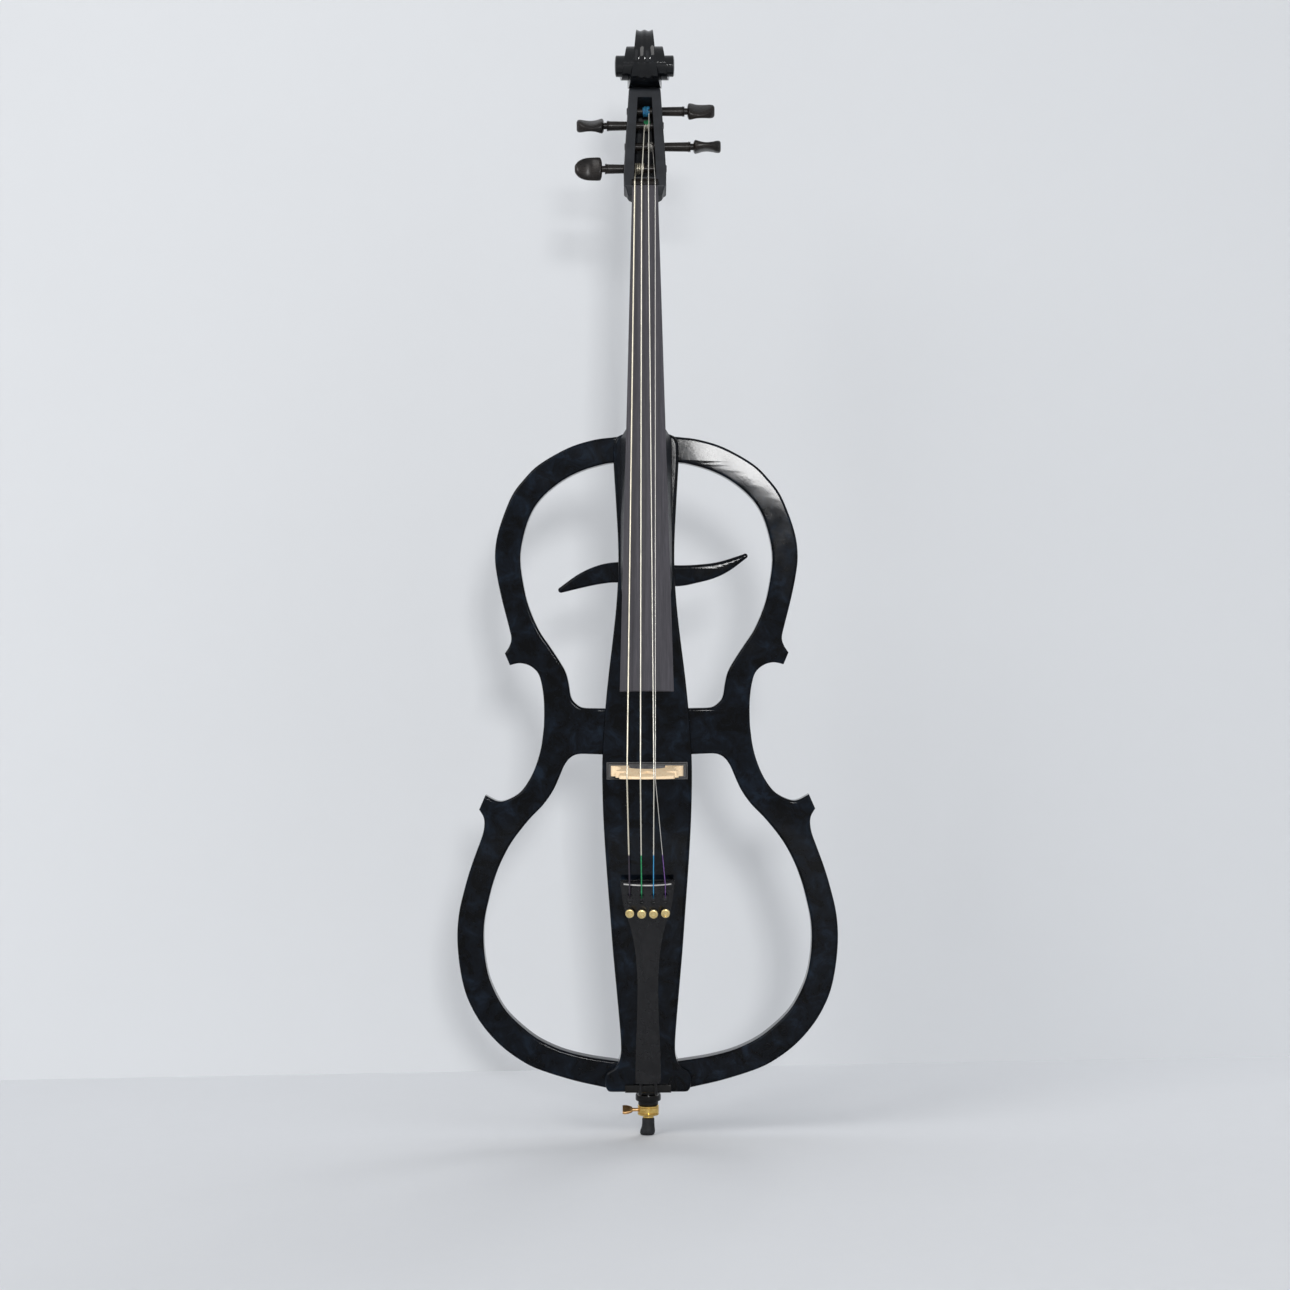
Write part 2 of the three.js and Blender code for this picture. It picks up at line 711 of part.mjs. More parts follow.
function spineCuts() {
  const tray = trayHeight / 2 + clearance;
  const pocket = box(-trayHalf - clearance, trayHalf + clearance,
    spineFront - overrun, spineFront + pocketDepth, trayPlace - tray, trayPlace + tray);
  const notch = box(-saddleHalf - clearance, saddleHalf + clearance, spineFront - overrun,
    spineFront + saddleDepth - saddleProud + clearance, bodyBase - overrun, bodyBase + saddleHeight + clearance);
  const wide = plugShaftRadius + clearance;
  const plugBore = turned([
    [0, bodyBase - overrun], [wide, bodyBase - overrun], [wide, bodyBase],
    [wide - plugShaftTaper, bodyBase + plugShaftLength + clearance], [0, bodyBase + plugShaftLength + clearance],
  ], turnedSides);
  const rodBore = rod(rodRadius + clearance, bodyBase, rodTop + clearance);
  const bay = backPanel(bayHalf, bayHalfLength, bayCorner, bayFloor, spineBack + overrun, bayPlace);
  const rebate = backPanel(bayHalf + plateMargin + clearance, bayHalfLength + plateMargin + clearance,
    bayCorner + plateMargin, plateFront - clearance, spineBack + overrun, bayPlace);
  const room = jackRadius + jackRoom;
  const jackPocket = box(jackSpot.x - room, jackSpot.x + room, spineBack - jackDepth - jackRoom,
    spineBack, jackSpot.z - room, jackSpot.z + room);
  return [pocket, notch, plugBore, rodBore, bay, rebate, jackPocket, batteryBay(), doorRebate(),
    restScrewAt(-1, clearance), restScrewAt(1, clearance),
    ...plateScrewSpots().map(spot => plateScrewAt(spot, clearance))];
}

// Battery bay with its hinged door
const batteryPlace = bodyBase + batteryHeight;
const doorHalf = batteryHalf + batteryRoom + doorMargin;
const doorHalfHeight = batteryHalfHeight + batteryRoom + doorMargin;
const batteryBack = spineBack - doorThickness - batteryRoom;

function batteryBay() {
  return box(-batteryHalf - batteryRoom, batteryHalf + batteryRoom,
    batteryBack - batteryThick - clearance, spineBack + overrun,
    batteryPlace - batteryHalfHeight - batteryRoom, batteryPlace + batteryHalfHeight + batteryRoom);
}

function doorRebate() {
  return box(-doorHalf - clearance, doorHalf + clearance, spineBack - doorThickness - clearance,
    spineBack + overrun, batteryPlace - doorHalfHeight - clearance, batteryPlace + doorHalfHeight + clearance);
}

function batteryDoor() {
  const round = doorThickness / 2;
  const low = batteryPlace - doorHalfHeight;
  const outline = [
    new THREE.Vector2(spineBack, batteryPlace + doorHalfHeight),
    new THREE.Vector2(spineBack - doorThickness, batteryPlace + doorHalfHeight),
  ];
  for (let step = 0; step <= 6; step++) {
    const angle = Math.PI + Math.PI * step / 6;
    outline.push(new THREE.Vector2(
      spineBack - round + round * Math.cos(angle), low + round + round * Math.sin(angle)));
  }
  return rib(outline, -doorHalf, doorHalf);
}

function battery() {
  const [front, end] = [batteryBack - batteryThick, batteryHalf - terminalHeight];
  const shift = terminalHeight / 2;
  const ring = height => roundedRing(batteryHalf - shift, front, batteryBack, height, batteryCornerRadius);
  const cell = placed(skin([ring(batteryPlace - batteryHalfHeight), ring(batteryPlace + batteryHalfHeight)]), {
    x: -shift });
  const studs = [-1, 1].map(side => placed(alongX(rod(terminalRadius, end - terminalHeight, batteryHalf, boreSides)), {
    y: (front + batteryBack) / 2, z: batteryPlace + side * terminalSpacing / 2 }));
  return join(cell, ...studs);
}

// Wings: one outline through the upper, waist and lower bouts and back round both windows
function wingOutline() {
  const run = (shares, half, steps) => smooth(shares, steps, (x, z) =>
    new THREE.Vector2(x * half, bodyBase + z * bodyLength));
  const inside = point => new THREE.Vector2(spineHalfAt(point.y) - frameInsert, point.y);
  const waist = smooth(waistShares, 16, (way, z) => {
    const corner = z > waistMiddle ? upperHalf * upperCornerShare : lowerHalf * lowerCornerShare;
    return new THREE.Vector2(waistHalf + way * (corner - waistHalf), bodyBase + z * bodyLength);
  });
  const runs = [
    run(upperOuterShares, upperHalf, 18), run(lowerOuterShares, lowerHalf, 19),
    run(lowerInnerShares, lowerHalf, 21), run(upperInnerShares, upperHalf, 18),
  ];
  const [upper, lower, lowerInner, upperInner] = runs;
  return [
    inside(upper[0]), ...upper, ...waist, ...lower, inside(lower.at(-1)), inside(lowerInner[0]),
    ...lowerInner, inside(lowerInner.at(-1)), inside(upperInner[0]), ...upperInner,
    inside(upperInner.at(-1)),
  ];
}

function wing(side) {
  const outline = wingOutline().map(point => new THREE.Vector2(side * point.x, point.y));
  const front = spineFront + frameSetback;
  const blank = slab(outline, front, front + frameThickness, frameEdge);
  const spineRoom = slab(spineOutline(clearance), spineFront - overrun, spineBack + overrun);
  return cut(blank, spineRoom);
}

// Fingerboard, in the board's own frame: origin on its face at the nut, Z up along it
const boardSpot = { y: boardFront, z: boardTop, tilt: -boardAngle };

function boardHalfAt(place) {
  return THREE.MathUtils.mapLinear(place, 0, boardLength, boardTopHalf, boardEndHalf);
}

function boardSag(half) {
  return boardRadius - Math.sqrt(boardRadius ** 2 - half ** 2);
}

function boardUnder(place) {
  return boardSag(boardHalfAt(place)) + boardEdge;
}

function boardRing(place, gap) {
  const half = boardHalfAt(place) + gap;
  const arch = [-1, -0.75, -0.5, -0.25, 0, 0.25, 0.5, 0.75, 1].map(share =>
    new THREE.Vector3(share * half, boardSag(share * half) - gap, -place));
  const under = boardUnder(place) + gap;
  return [...arch, new THREE.Vector3(half, under, -place), new THREE.Vector3(-half, under, -place)];
}

function boardBlank(gap) {
  const places = [1, 0.8, 0.6, 0.4, 0.2, 0].map(share => share * boardLength);
  const rings = places.map(place => boardRing(place, gap));
  if (gap > 0) {
    rings[0].forEach(point => point.setZ(point.z - gap));
    rings.at(-1).forEach(point => point.setZ(point.z + gap));
  }
  return skin(rings);
}

function fingerboard() {
  const end = boardUnder(boardLength);
  const hollowRadius = boardRadius - boardEdge;
  const hollow = placed(rod(hollowRadius, -boardLength - overrun, boardHollowLength - boardLength, 60), {
    y: end - boardHollow + hollowRadius });
  return placed(cut(boardBlank(0), hollow), boardSpot);
}

function headPoint(height, depth) {
  return {
    y: boardFront + headDrop + height * Math.sin(headTilt) + depth * Math.cos(headTilt),
    z: nutPlace + headRise + height * Math.cos(headTilt) - depth * Math.sin(headTilt),
  };
}

// Neck with its round back, in the board's frame
function neckShaft() {
  const low = (boardTop - bodyTop - overrun) / Math.cos(boardAngle) / boardLength;
  const rings = [1, 0.75, 0.5, 0.25, 0, -0.04].map(part => {
    const share = part * low;
    const place = share * boardLength;
    const half = boardHalfAt(place);
    const front = boardUnder(place) - clearance;
    const back = neckDepth + neckGrowth * share;
    const shoulder = (back - front) * neckShoulder;
    const ring = [new THREE.Vector3(-half, front, -place), new THREE.Vector3(half, front, -place)];
    for (let step = 0; step <= 10; step++) {
      const angle = Math.PI * step / 10;
      ring.push(new THREE.Vector3(half * Math.cos(angle),
        front + shoulder + (back - front - shoulder) * Math.sin(angle), -place));
    }
    return ring;
  });
  return placed(skin(rings), boardSpot);
}

// Depth of the board's underside at a height on the body
function boardBackAt(height) {
  const place = (boardTop - height) / Math.cos(boardAngle);
  const under = boardUnder(Math.max(place, 0));
  return boardFront + under / Math.cos(boardAngle) - (boardTop - height) * Math.tan(boardAngle);
}

// Root on the spine's face, swept up to the board at its lower end
function neckRoot() {
  const low = bodyTop - rootLength;
  const heights = [0, 0.08, 0.22, 0.45, 0.72, 1].map(share => low + share * rootSweep);
  heights.push(low + rootLength / 2, bodyTop - overrun, bodyTop + overrun);
  const rings = heights.map(height => {
    const front = boardBackAt(height) - clearance;
    const swept = THREE.MathUtils.clamp((height - low) / rootSweep, 0, 1);
    const share = Math.max(Math.sin(swept * Math.PI / 2), rootLip);
    const back = front + (spineFront - clearance - front) * share;
    const half = boardHalfAt((boardTop - height) / Math.cos(boardAngle)) - clearance;
    const wide = height > bodyTop ? half : half + (rootHalf - half) * share;
    return [
      new THREE.Vector3(-half, front, height), new THREE.Vector3(half, front, height),
      new THREE.Vector3(wide, back, height), new THREE.Vector3(-wide, back, height),
    ];
  });
  return skin(rings);
}

// Heel that closes over the top of the spine
function neckHeel() {
  const rings = [0, 0.08, 0.2, 0.38, 0.6, 0.8, 1].map(share => {
    const height = bodyTop + clearance + share * heelRise;
    const front = boardBackAt(height) - clearance;
    const back = spineFront + heelDepth * (1 - Math.sqrt(Math.sin(share * Math.PI / 2)));
    const half = boardHalfAt((boardTop - height) / Math.cos(boardAngle)) - clearance;
    return roundedRing(half, front, back, height, clearance, half * heelRound, 4);
  });
  return skin(rings);
}

// Pegbox and the string room inside it, in the pegbox's frame
const headSpot = { y: boardFront + headDrop, z: nutPlace + headRise, tilt: -headTilt };

function pegboxBlank() {
  return placed(skin(pegboxShares.map(([height, half, front, back]) => roundedRing(
    half * pegboxHalf, front * pegboxDepth, back * pegboxDepth, height * pegboxHeight,
    pegboxEdge, pegboxRound, 2))), headSpot);
}

function pegboxRoom() {
  return placed(skin(cavityShares.map(([height, half, back]) => roundedRing(
    half * cavityHalf, -overrun, back * cavityDepth, height * cavityHeight, clearance, 2 * clearance, 1,
  ))), headSpot);
}

// Scroll: a spiral band that steps out sideways from turn to turn up to its round eye
function scrollColumns() {
  const last = Math.round(scrollTurns * stepsPerTurn);
  const start = 2 - scrollTurns;
  return Array.from({ length: last + 1 }, (_, step) => {
    const turn = start + step / stepsPerTurn;
    const place = (turn + 0.5) / 2.5;
    const radius = scrollRadius * spread(scrollRadiusShares, place);
    const half = scrollHalf * spread(scrollWidthShares, place);
    const angle = 2 * Math.PI * turn;
    const at = (x, r) => new THREE.Vector3(x, -r * Math.sin(angle), r * Math.cos(angle));
    return { radius, half, at };
  });
}

function scrollHalfFaces() {
  const columns = scrollColumns();
  const last = columns.length - 1;
  const turn = stepsPerTurn;
  const faces = [];
  const outer = columns.map(({ at, half, radius }) => at(half, radius));
  const inner = columns.map(({ at, radius }, i) => (i >= turn ? at(columns[i - turn].half, radius) : null));
  const strip = (from, to, a, b) => {
    for (let i = from; i < to; i++) {
      faces.push([a(i), a(i + 1), b(i + 1)], [a(i), b(i + 1), b(i)]);
    }
  };
  const flute = [[0, 0], [0.28, 0.7], [0.52, 1], [0.76, 0.7]];
  const fluted = flute.map(([share, depth]) => i => {
    const { at, half, radius } = columns[i];
    if (i === turn) {
      return share === 0 ? at(0, radius) : inner[turn];
    }
    return at(share * half, radius - depth * scrollFlute);
  });
  const rim = i => outer[i];
  [...fluted, rim].slice(1).forEach((line, i) => strip(0, turn, fluted[i], line));
  const base = columns[turn].at(0, columns[turn].radius);
  const start = [...fluted.map(line => line(0)), outer[0], inner[turn]];
  start.slice(1).forEach((point, i) => faces.push([base, start[i], point]));
  strip(turn, last, i => inner[i], rim);
  strip(0, last - turn, rim, i => inner[i + turn]);
  const eye = scrollHalf;
  const eyeWall = i => columns[i].at(columns[i].half, scrollEyeRadius);
  const eyeRim = i => columns[i].at(eye, scrollEyeRadius);
  const eyeTop = i => columns[i].at(eye + scrollDome, scrollEyeRadius * scrollDomeShare);
  const centre = () => new THREE.Vector3(eye + scrollDome, 0, 0);
  [rim, eyeWall, eyeRim, eyeTop, centre].slice(1).forEach((line, i, lines) =>
    strip(last - turn, last, i === 0 ? rim : lines[i - 1], line));
  return faces;
}

function scroll() {
  const right = scrollHalfFaces();
  const mirror = point => new THREE.Vector3(-point.x, point.y, point.z);
  const left = right.map(([a, b, c]) => [mirror(a), mirror(c), mirror(b)]);
  const whole = toGeometry(toSolid(triangles([...right, ...left])));
  return placed(whole, headPoint(scrollCentreHeight, scrollCentreDepth));
}

// Nut, rounded down towards the pegs
function nutBlank(gap) {
  const outline = [
    [nutFront - gap, -gap], [nutFront - gap, 0], [nutFront + nutDrop - gap, nutCrest + gap],
    [nutFront + nutDrop + nutFall - gap, nutLength + gap], [nutFront + nutDepth + gap, nutLength + gap],
    [nutFront + nutDepth + gap, -gap],
  ].map(([y, z]) => new THREE.Vector2(y, nutPlace + z));
  return rib(outline, -nutHalf - gap, nutHalf + gap);
}

// Pegs along X, from the far cheek to the head
function pegEnds(peg) {
  const shares = pegboxShares.map(([height]) => height * pegboxHeight);
  const row = shares.findIndex(height => height >= peg.height);
  const half = pegboxHalf * THREE.MathUtils.mapLinear(
    peg.height, shares[row - 1], shares[row], pegboxShares[row - 1][1], pegboxShares[row][1]);
  return { far: -half - pegFlush, near: peg.reach - pegNeckLength - pegRingLength };
}

function pegShaft(peg, gap) {
  const { far, near } = pegEnds(peg);
  const corner = gap > 0 ? 1 / Math.cos(Math.PI / pegSides) : 1;
  return [[0, far - gap], [(pegSmall + gap) * corner, far - gap], [(pegLarge + gap) * corner, near]];
}

function pegRadiusAt(peg, x) {
  const { far, near } = pegEnds(peg);
  return THREE.MathUtils.mapLinear(x * peg.side, far, near, pegSmall, pegLarge);
}

function onPeg(peg, geometry) {
  const along = alongX(geometry).rotateX(THREE.MathUtils.degToRad(peg.turn) - Math.PI / 2);
  return placed(along, { ...headPoint(peg.height, peg.depth), turn: peg.side < 0 ? Math.PI : 0 });
}

function pegSolid(peg) {
  const ring = peg.reach - pegNeckLength;
  const { near } = pegEnds(peg);
  const shaft = turned([
    ...pegShaft(peg, 0), [pegRingRadius, near + clearance], [pegRingRadius, ring - clearance],
    [pegNeckRadius, ring], [pegNeckRadius, peg.reach + pegNeckLength], [0, peg.reach + pegNeckLength],
  ], pegSides);
  const rings = pegHeadShares.map(([place, wide, thick]) => Array.from({ length: 10 }, (_, step) => {
    const angle = 2 * Math.PI * step / 10;
    const bulge = value => Math.sign(value) * Math.abs(value) ** 0.75;
    return new THREE.Vector3(thick * pegHeadThick * bulge(Math.cos(angle)),
      wide * pegHeadHalf * bulge(Math.sin(angle)), peg.reach + place * pegHeadLength);
  }));
  return onPeg(peg, join(shaft, skin(rings)));
}

function pegBore(peg) {
  const { near } = pegEnds(peg);
  return onPeg(peg, turned([...pegShaft(peg, clearance), [0, near]], pegSides));
}

function neck() {
  const whole = join(neckShaft(), neckRoot(), neckHeel(), pegboxBlank(), scroll());
  return cut(whole, pegboxRoom(), placed(boardBlank(clearance), boardSpot), nutBlank(clearance),
    ...Object.values(pegPlan).map(pegBore));
}

// Windings: one loop after another round each peg, each a single unbroken wire
function windingLine(name) {
  const peg = pegPlan[name];
  const wire = stringRadii[name];
  const pitch = 2 * wire + windingGap;
  const inner = peg.leaves + peg.runs * pitch * peg.loops;
  const shaft = Math.max(pegRadiusAt(peg, peg.leaves), pegRadiusAt(peg, inner));
  const radius = shaft + clearance + wire;
  const axis = headPoint(peg.height, peg.depth);
  const nutY = nutFront + nutDrop - clearance - wire;
  const [acrossY, acrossZ] = [nutY - axis.y, nutPlace + nutCrest - axis.z];
  const away = Math.hypot(acrossY, acrossZ);
  const [towardsY, towardsZ] = [acrossY / away, acrossZ / away];
  const lean = radius / away;
  const rest = Math.sqrt(1 - lean ** 2);
  const out = { y: towardsY * lean + towardsZ * rest, z: towardsZ * lean - towardsY * rest };
  const leave = { y: towardsY * rest - towardsZ * lean, z: towardsZ * rest + towardsY * lean };
  return { peg, wire, pitch, radius, axis, out, leave };
}

function windingPoints(name) {
  const { peg, wire, pitch, radius, axis, out, leave } = windingLine(name);
  const at = angle => new THREE.Vector3(
    peg.leaves + peg.runs * pitch * angle / (2 * Math.PI),
    axis.y + radius * (out.y * Math.cos(angle) - leave.y * Math.sin(angle)),
    axis.z + radius * (out.z * Math.cos(angle) - leave.z * Math.sin(angle)));
  const loops = Array.from({ length: peg.loops * loopSteps + 1 }, (_, step) =>
    at(2 * Math.PI * step / loopSteps));
  const first = loops[0].clone().add(new THREE.Vector3(0, leave.y, leave.z).multiplyScalar(2 * wire));
  const end = loops.at(-1);
  const onward = end.clone().sub(loops.at(-2)).setLength(2 * wire);
  return [first, ...loops, end.clone().add(onward)];
}

function windingSelfGap(name) {
  const points = windingPoints(name);
  const wire = stringRadii[name];
  let least = Infinity;
  for (let i = 0; i < points.length; i++) {
    for (let j = i + loopSteps / 2; j < points.length; j++) {
      least = Math.min(least, points[i].distanceTo(points[j]) - 2 * wire);
    }
  }
  return least;
}

// Tailpiece and what it carries, in its own frame: origin at its top edge, Z up along it
const tailTilt = Math.atan2(tailTopHeight - tailEndHeight, tailRun);
const tailSpot = { y: spineFront - tailTopHeight, z: tailPlace, tilt: tailTilt };
const tunerPlaces = { c: -1.5 * tunerSpacing, g: -tunerSpacing / 2, d: tunerSpacing / 2, a: 1.5 * tunerSpacing };

function tailAt(place) {
  const row = Math.max(tailShares.findIndex(share => share[0] >= place / tailLength), 1);
  const [low, high] = [tailShares[row - 1], tailShares[row]];
  const between = column => THREE.MathUtils.mapLinear(
    place / tailLength, low[0], high[0], low[column], high[column]);
  return { half: between(1) * tailHalf, drop: between(2) * tailDrop, edge: between(3) * tailEdge };
}

function tailFaceAt(x, place) {
  const { half, drop } = tailAt(place);
  return drop * (x / half) ** 2;
}

function tailRing(place, inset, wall) {
  const { half, drop, edge } = tailAt(place);
  const wide = half - inset;
  const arch = Array.from({ length: 11 }, (_, step) => {
    const x = wide * (step / 5 - 1);
    return new THREE.Vector3(x, drop * (x / half) ** 2 + wall, -place);
  });
  const back = wall > 0 ? drop + edge + overrun : drop + edge;
  return [...arch, new THREE.Vector3(wide, back, -place), new THREE.Vector3(-wide, back, -place)];
}

function tailBlank() {
  const places = tailShares.map(share => share[0] * tailLength).toReversed();
  return skin(places.map(place => tailRing(place, 0, 0)));
}

function tailHollow() {
  const end = tailHollowMargin + tailHollowLength;
  const places = [end, end * 0.8, end * 0.6, end * 0.4, end * 0.25, tailHollowMargin];
  return skin(places.map(place => tailRing(place, tailSideWall, tailWall)));
}

function tailpiece() {
  const slots = Object.values(tunerPlaces).flatMap(x => {
    const room = leverWidth / 2 + 2 * clearance;
    const slot = box(x - slotWidth / 2, x + slotWidth / 2, -overrun, leverClawDepth + overrun,
      -slotTop - slotLength, -slotTop);
    const leverRoom = box(x - room, x + room, leverClawDepth - 2 * clearance, tailDrop + tailEdge + overrun,
      -leverArmEnd - 2 * clearance, -tailHollowMargin);
    const bore = placed(alongY(rod(screwRadius + clearance, -overrun, tailDrop + tailEdge, boreSides)), {
      x, z: -screwPlace });
    return [slot, leverRoom, bore];
  });
  const axleBore = placed(alongX(rod(axleRadius + clearance, -axleHalf - clearance, axleHalf + clearance, boreSides)), {
    y: leverPivotDepth, z: -leverPivotPlace });
  const cordBores = [-1, 1].map(side => placed(rod(cordRadius + clearance, -overrun, cordHoleDepth, boreSides), {
    x: side * cordSpread, y: cordHolePlace, z: -tailLength }));
  return placed(cut(tailBlank(), tailHollow(), axleBore, ...slots, ...cordBores), tailSpot);
}

function tailFret() {
  const half = tailAt(fretInset).half * fretHalfShare;
  const arc = lift => Array.from({ length: 11 }, (_, step) => {
    const x = half * (step / 5 - 1);
    return new THREE.Vector2(x, tailFaceAt(x, fretInset + fretLength) - lift);
  });
  const outline = [...arc(clearance), ...arc(clearance + fretThickness).toReversed()];
  const band = new THREE.ExtrudeGeometry(flat(outline), { depth: fretLength, bevelEnabled: false });
  return placed(placed(band, { z: -fretInset - fretLength }), tailSpot);
}

function tunerAxle() {
  const axle = alongX(rod(axleRadius, -axleHalf, axleHalf, boreSides));
  return placed(placed(axle, { y: leverPivotDepth, z: -leverPivotPlace }), tailSpot);
}

function tunerLever(x) {
  const pivot = -leverPivotPlace;
  const outline = [
    [leverClawDepth, pivot + leverClawHalf], [leverClawDepth, pivot - leverClawHalf],
    [leverArmDepth, pivot - leverClawHalf], [leverArmDepth, -leverArmEnd],
    [leverArmDepth + leverThickness, -leverArmEnd],
    [leverPivotDepth + leverBoss, pivot - leverBoss / 2], [leverPivotDepth + leverBoss, pivot + leverBoss / 2],
    [leverPivotDepth, pivot + leverBoss],
  ].map(pair => new THREE.Vector2(...pair));
  const hole = Array.from({ length: boreSides }, (_, step) => {
    const angle = 2 * Math.PI * step / boreSides;
    const round = axleRadius + clearance;
    return new THREE.Vector2(leverPivotDepth + round * Math.cos(angle), pivot + round * Math.sin(angle));
  });
  const blank = rib(outline, x - leverWidth / 2, x + leverWidth / 2, [hole]);
  const slit = box(x - clawSlit / 2, x + clawSlit / 2, leverClawDepth - overrun,
    leverClawDepth + leverClawLength, pivot - overrun, pivot + overrun);
  return placed(cut(blank, slit), tailSpot);
}

// Underside of a knob, over the highest place of the face below it
function knobUnderAt(x) {
  return tailFaceAt(Math.max(Math.abs(x) - knobRadius, 0), screwPlace) - knobStandoff;
}

function tunerScrew(x) {
  const blank = alongY(rod(screwRadius, knobUnderAt(x) - knobBoreDepth + clearance, screwReach, boreSides));
  return placed(placed(blank, { x, z: -screwPlace }), tailSpot);
}

function tunerKnob(x) {
  const under = knobUnderAt(x);
  const top = under - knobHeight;
  const bevel = knobHeight * bevelShare;
  const blank = turned([
    [0, top], [knobRadius - bevel, top], [knobRadius, top + bevel], [knobRadius, under - bevel],
    [knobRadius - bevel, under], [screwRadius + clearance, under],
    [screwRadius + clearance, under - knobBoreDepth], [0, under - knobBoreDepth],
  ]);
  return placed(placed(alongY(blank), { x, z: -screwPlace }), tailSpot);
}

// A string from its peg over nut, bridge and tail fret down to its lever's claw
const crownSpots = {
  c: -1.5 * bridgeSpacing, g: -bridgeSpacing / 2, d: bridgeSpacing / 2, a: bridgeSpacing / 2 + slippedSpacing,
};
const nutSpots = { c: -1.5 * nutSpacing, g: -nutSpacing / 2, d: nutSpacing / 2, a: 1.5 * nutSpacing };

function inTail(x, y, z) {
  return new THREE.Vector3(x, y, z).applyMatrix4(
    new THREE.Matrix4().makeTranslation(0, tailSpot.y, tailSpot.z).multiply(
      new THREE.Matrix4().makeRotationX(tailTilt)));
}

function crownSag(x) {
  return crownRadius - Math.sqrt(crownRadius ** 2 - x ** 2);
}

function string(name) {
  const { peg, wire, radius, axis, out, leave } = windingLine(name);
  const start = Math.sqrt((radius + 2 * wire + clearance) ** 2 - radius ** 2);
  const lift = clearance + wire;
  const nutBend = Math.PI / 4 - Math.atan2(nutLength - nutCrest, nutFall) / 2;
  const nutX = nutSpots[name];
  const crownX = crownSpots[name];
  const tailX = tunerPlaces[name];
  const crownY = crownFront + crownSag(crownX) - lift;
  const fretMiddle = fretInset + fretLength / 2;
  const fretTop = tailFaceAt(tailX, fretInset + fretLength) - clearance - fretThickness;
  const points = [
    new THREE.Vector3(peg.leaves, axis.y + radius * out.y + start * leave.y,
      axis.z + radius * out.z + start * leave.z),
    new THREE.Vector3(nutX, nutFront + nutDrop - lift, nutPlace + nutCrest + lift * Math.tan(nutBend)),
    new THREE.Vector3(nutX, nutFront - lift, nutPlace),
    new THREE.Vector3(crownX, crownY, crownPlace + crownThickness / 2),
    new THREE.Vector3(crownX, crownY, crownPlace - crownThickness / 2),
    inTail(tailX, fretTop - lift, -fretMiddle),
    inTail(tailX, tailFaceAt(tailX, slotTop) - lift, -slotTop),
    inTail(tailX, leverClawDepth + leverClawLength - lift, -leverPivotPlace),
  ];
  return tube(points, wire, 6);
}

// Bridge with its arch, side notches and heart, thinner at its crown than at its feet
function bridge() {
  const height = bridgeBase - crownFront;
  const at = (side, share, rise) => new THREE.Vector2(side * share * bridgeHalf, bridgeBase - rise * height);
  const side = smooth(bridgeSideShares, 11, (share, rise) => at(1, share, rise));
  const notch = smooth(bridgeNotchShares, 9, (share, rise) => at(1, share, rise));
  const crownHalf = bridgeHalf * crownHalfShare;
  const crown = Array.from({ length: 9 }, (_, step) => {
    const x = crownHalf * (1 - step / 8);
    const round = step === 0 ? bridgeHalf * crownCornerShare : 0;
    return new THREE.Vector2(x, crownFront + crownSag(x) + round);
  });
  const half = [at(1, 0.5, 0), at(1, 1, 0), ...side, ...notch, ...crown];
  const mirrored = half.slice(0, -1).toReversed().map(point => new THREE.Vector2(-point.x, point.y));
  const arch = smooth(bridgeArchShares, 11, (share, rise) => at(1, share, rise));
  const archLeft = arch.slice(0, -1).map(point => new THREE.Vector2(-point.x, point.y));
  const heart = smooth(bridgeHeartShares, 11, (share, rise) => at(1, share, rise));
  const heartLeft = heart.slice(1, -1).toReversed().map(point => new THREE.Vector2(-point.x, point.y));
  const outline = [...half, ...mirrored, ...archLeft, ...arch.toReversed()];
  const blank = new THREE.ExtrudeGeometry(flat(outline, [[...heart, ...heartLeft]]), {
    depth: footThickness, bevelEnabled: false });
  const wedge = rib([
    new THREE.Vector2(bridgeBase + overrun, -overrun), new THREE.Vector2(bridgeBase + overrun, footThickness),
    new THREE.Vector2(bridgeBase - footRiseShare * height, footThickness), new THREE.Vector2(crownFront, crownThickness),
    new THREE.Vector2(crownFront - overrun, crownThickness), new THREE.Vector2(crownFront - overrun, -overrun),
  ], -bridgeHalf - overrun, bridgeHalf + overrun);
  return placed(common(blank, wedge), { z: bodyBase + bridgePlace });
}

function bridgeTray() {
  const back = spineFront + pocketDepth - clearance;
  const half = trayHeight / 2;
  const blank = box(-trayHalf, trayHalf, spineFront - trayProud, back, trayPlace - half, trayPlace + half);
  const inside = box(-trayHalf + trayWall, trayHalf - trayWall, spineFront - overrun, back - trayFloor,
    trayPlace - half + trayWall, trayPlace + half - trayWall);
  return cut(blank, inside);
}

function pickup() {
  const front = bridgeBase + clearance;
  return box(-bridgeHalf, bridgeHalf, front, front + pickupThickness,
    trayPlace - pickupHeight / 2, trayPlace + pickupHeight / 2);
}

// Saddle and the cord that holds the tailpiece
function saddle() {
  const front = spineFront - saddleProud;
  const back = front + saddleDepth;
  const outline = [new THREE.Vector2(back, bodyBase), new THREE.Vector2(back, bodyBase + saddleHeight)];
  outline.push(new THREE.Vector2(front, bodyBase + saddleHeight));
  for (let step = 0; step <= 4; step++) {
    const angle = Math.PI + Math.PI / 2 * step / 4;
    outline.push(new THREE.Vector2(
      front + saddleRound + saddleRound * Math.cos(angle), bodyBase + saddleRound + saddleRound * Math.sin(angle)));
  }
  return rib(outline, -saddleHalf, saddleHalf);
}

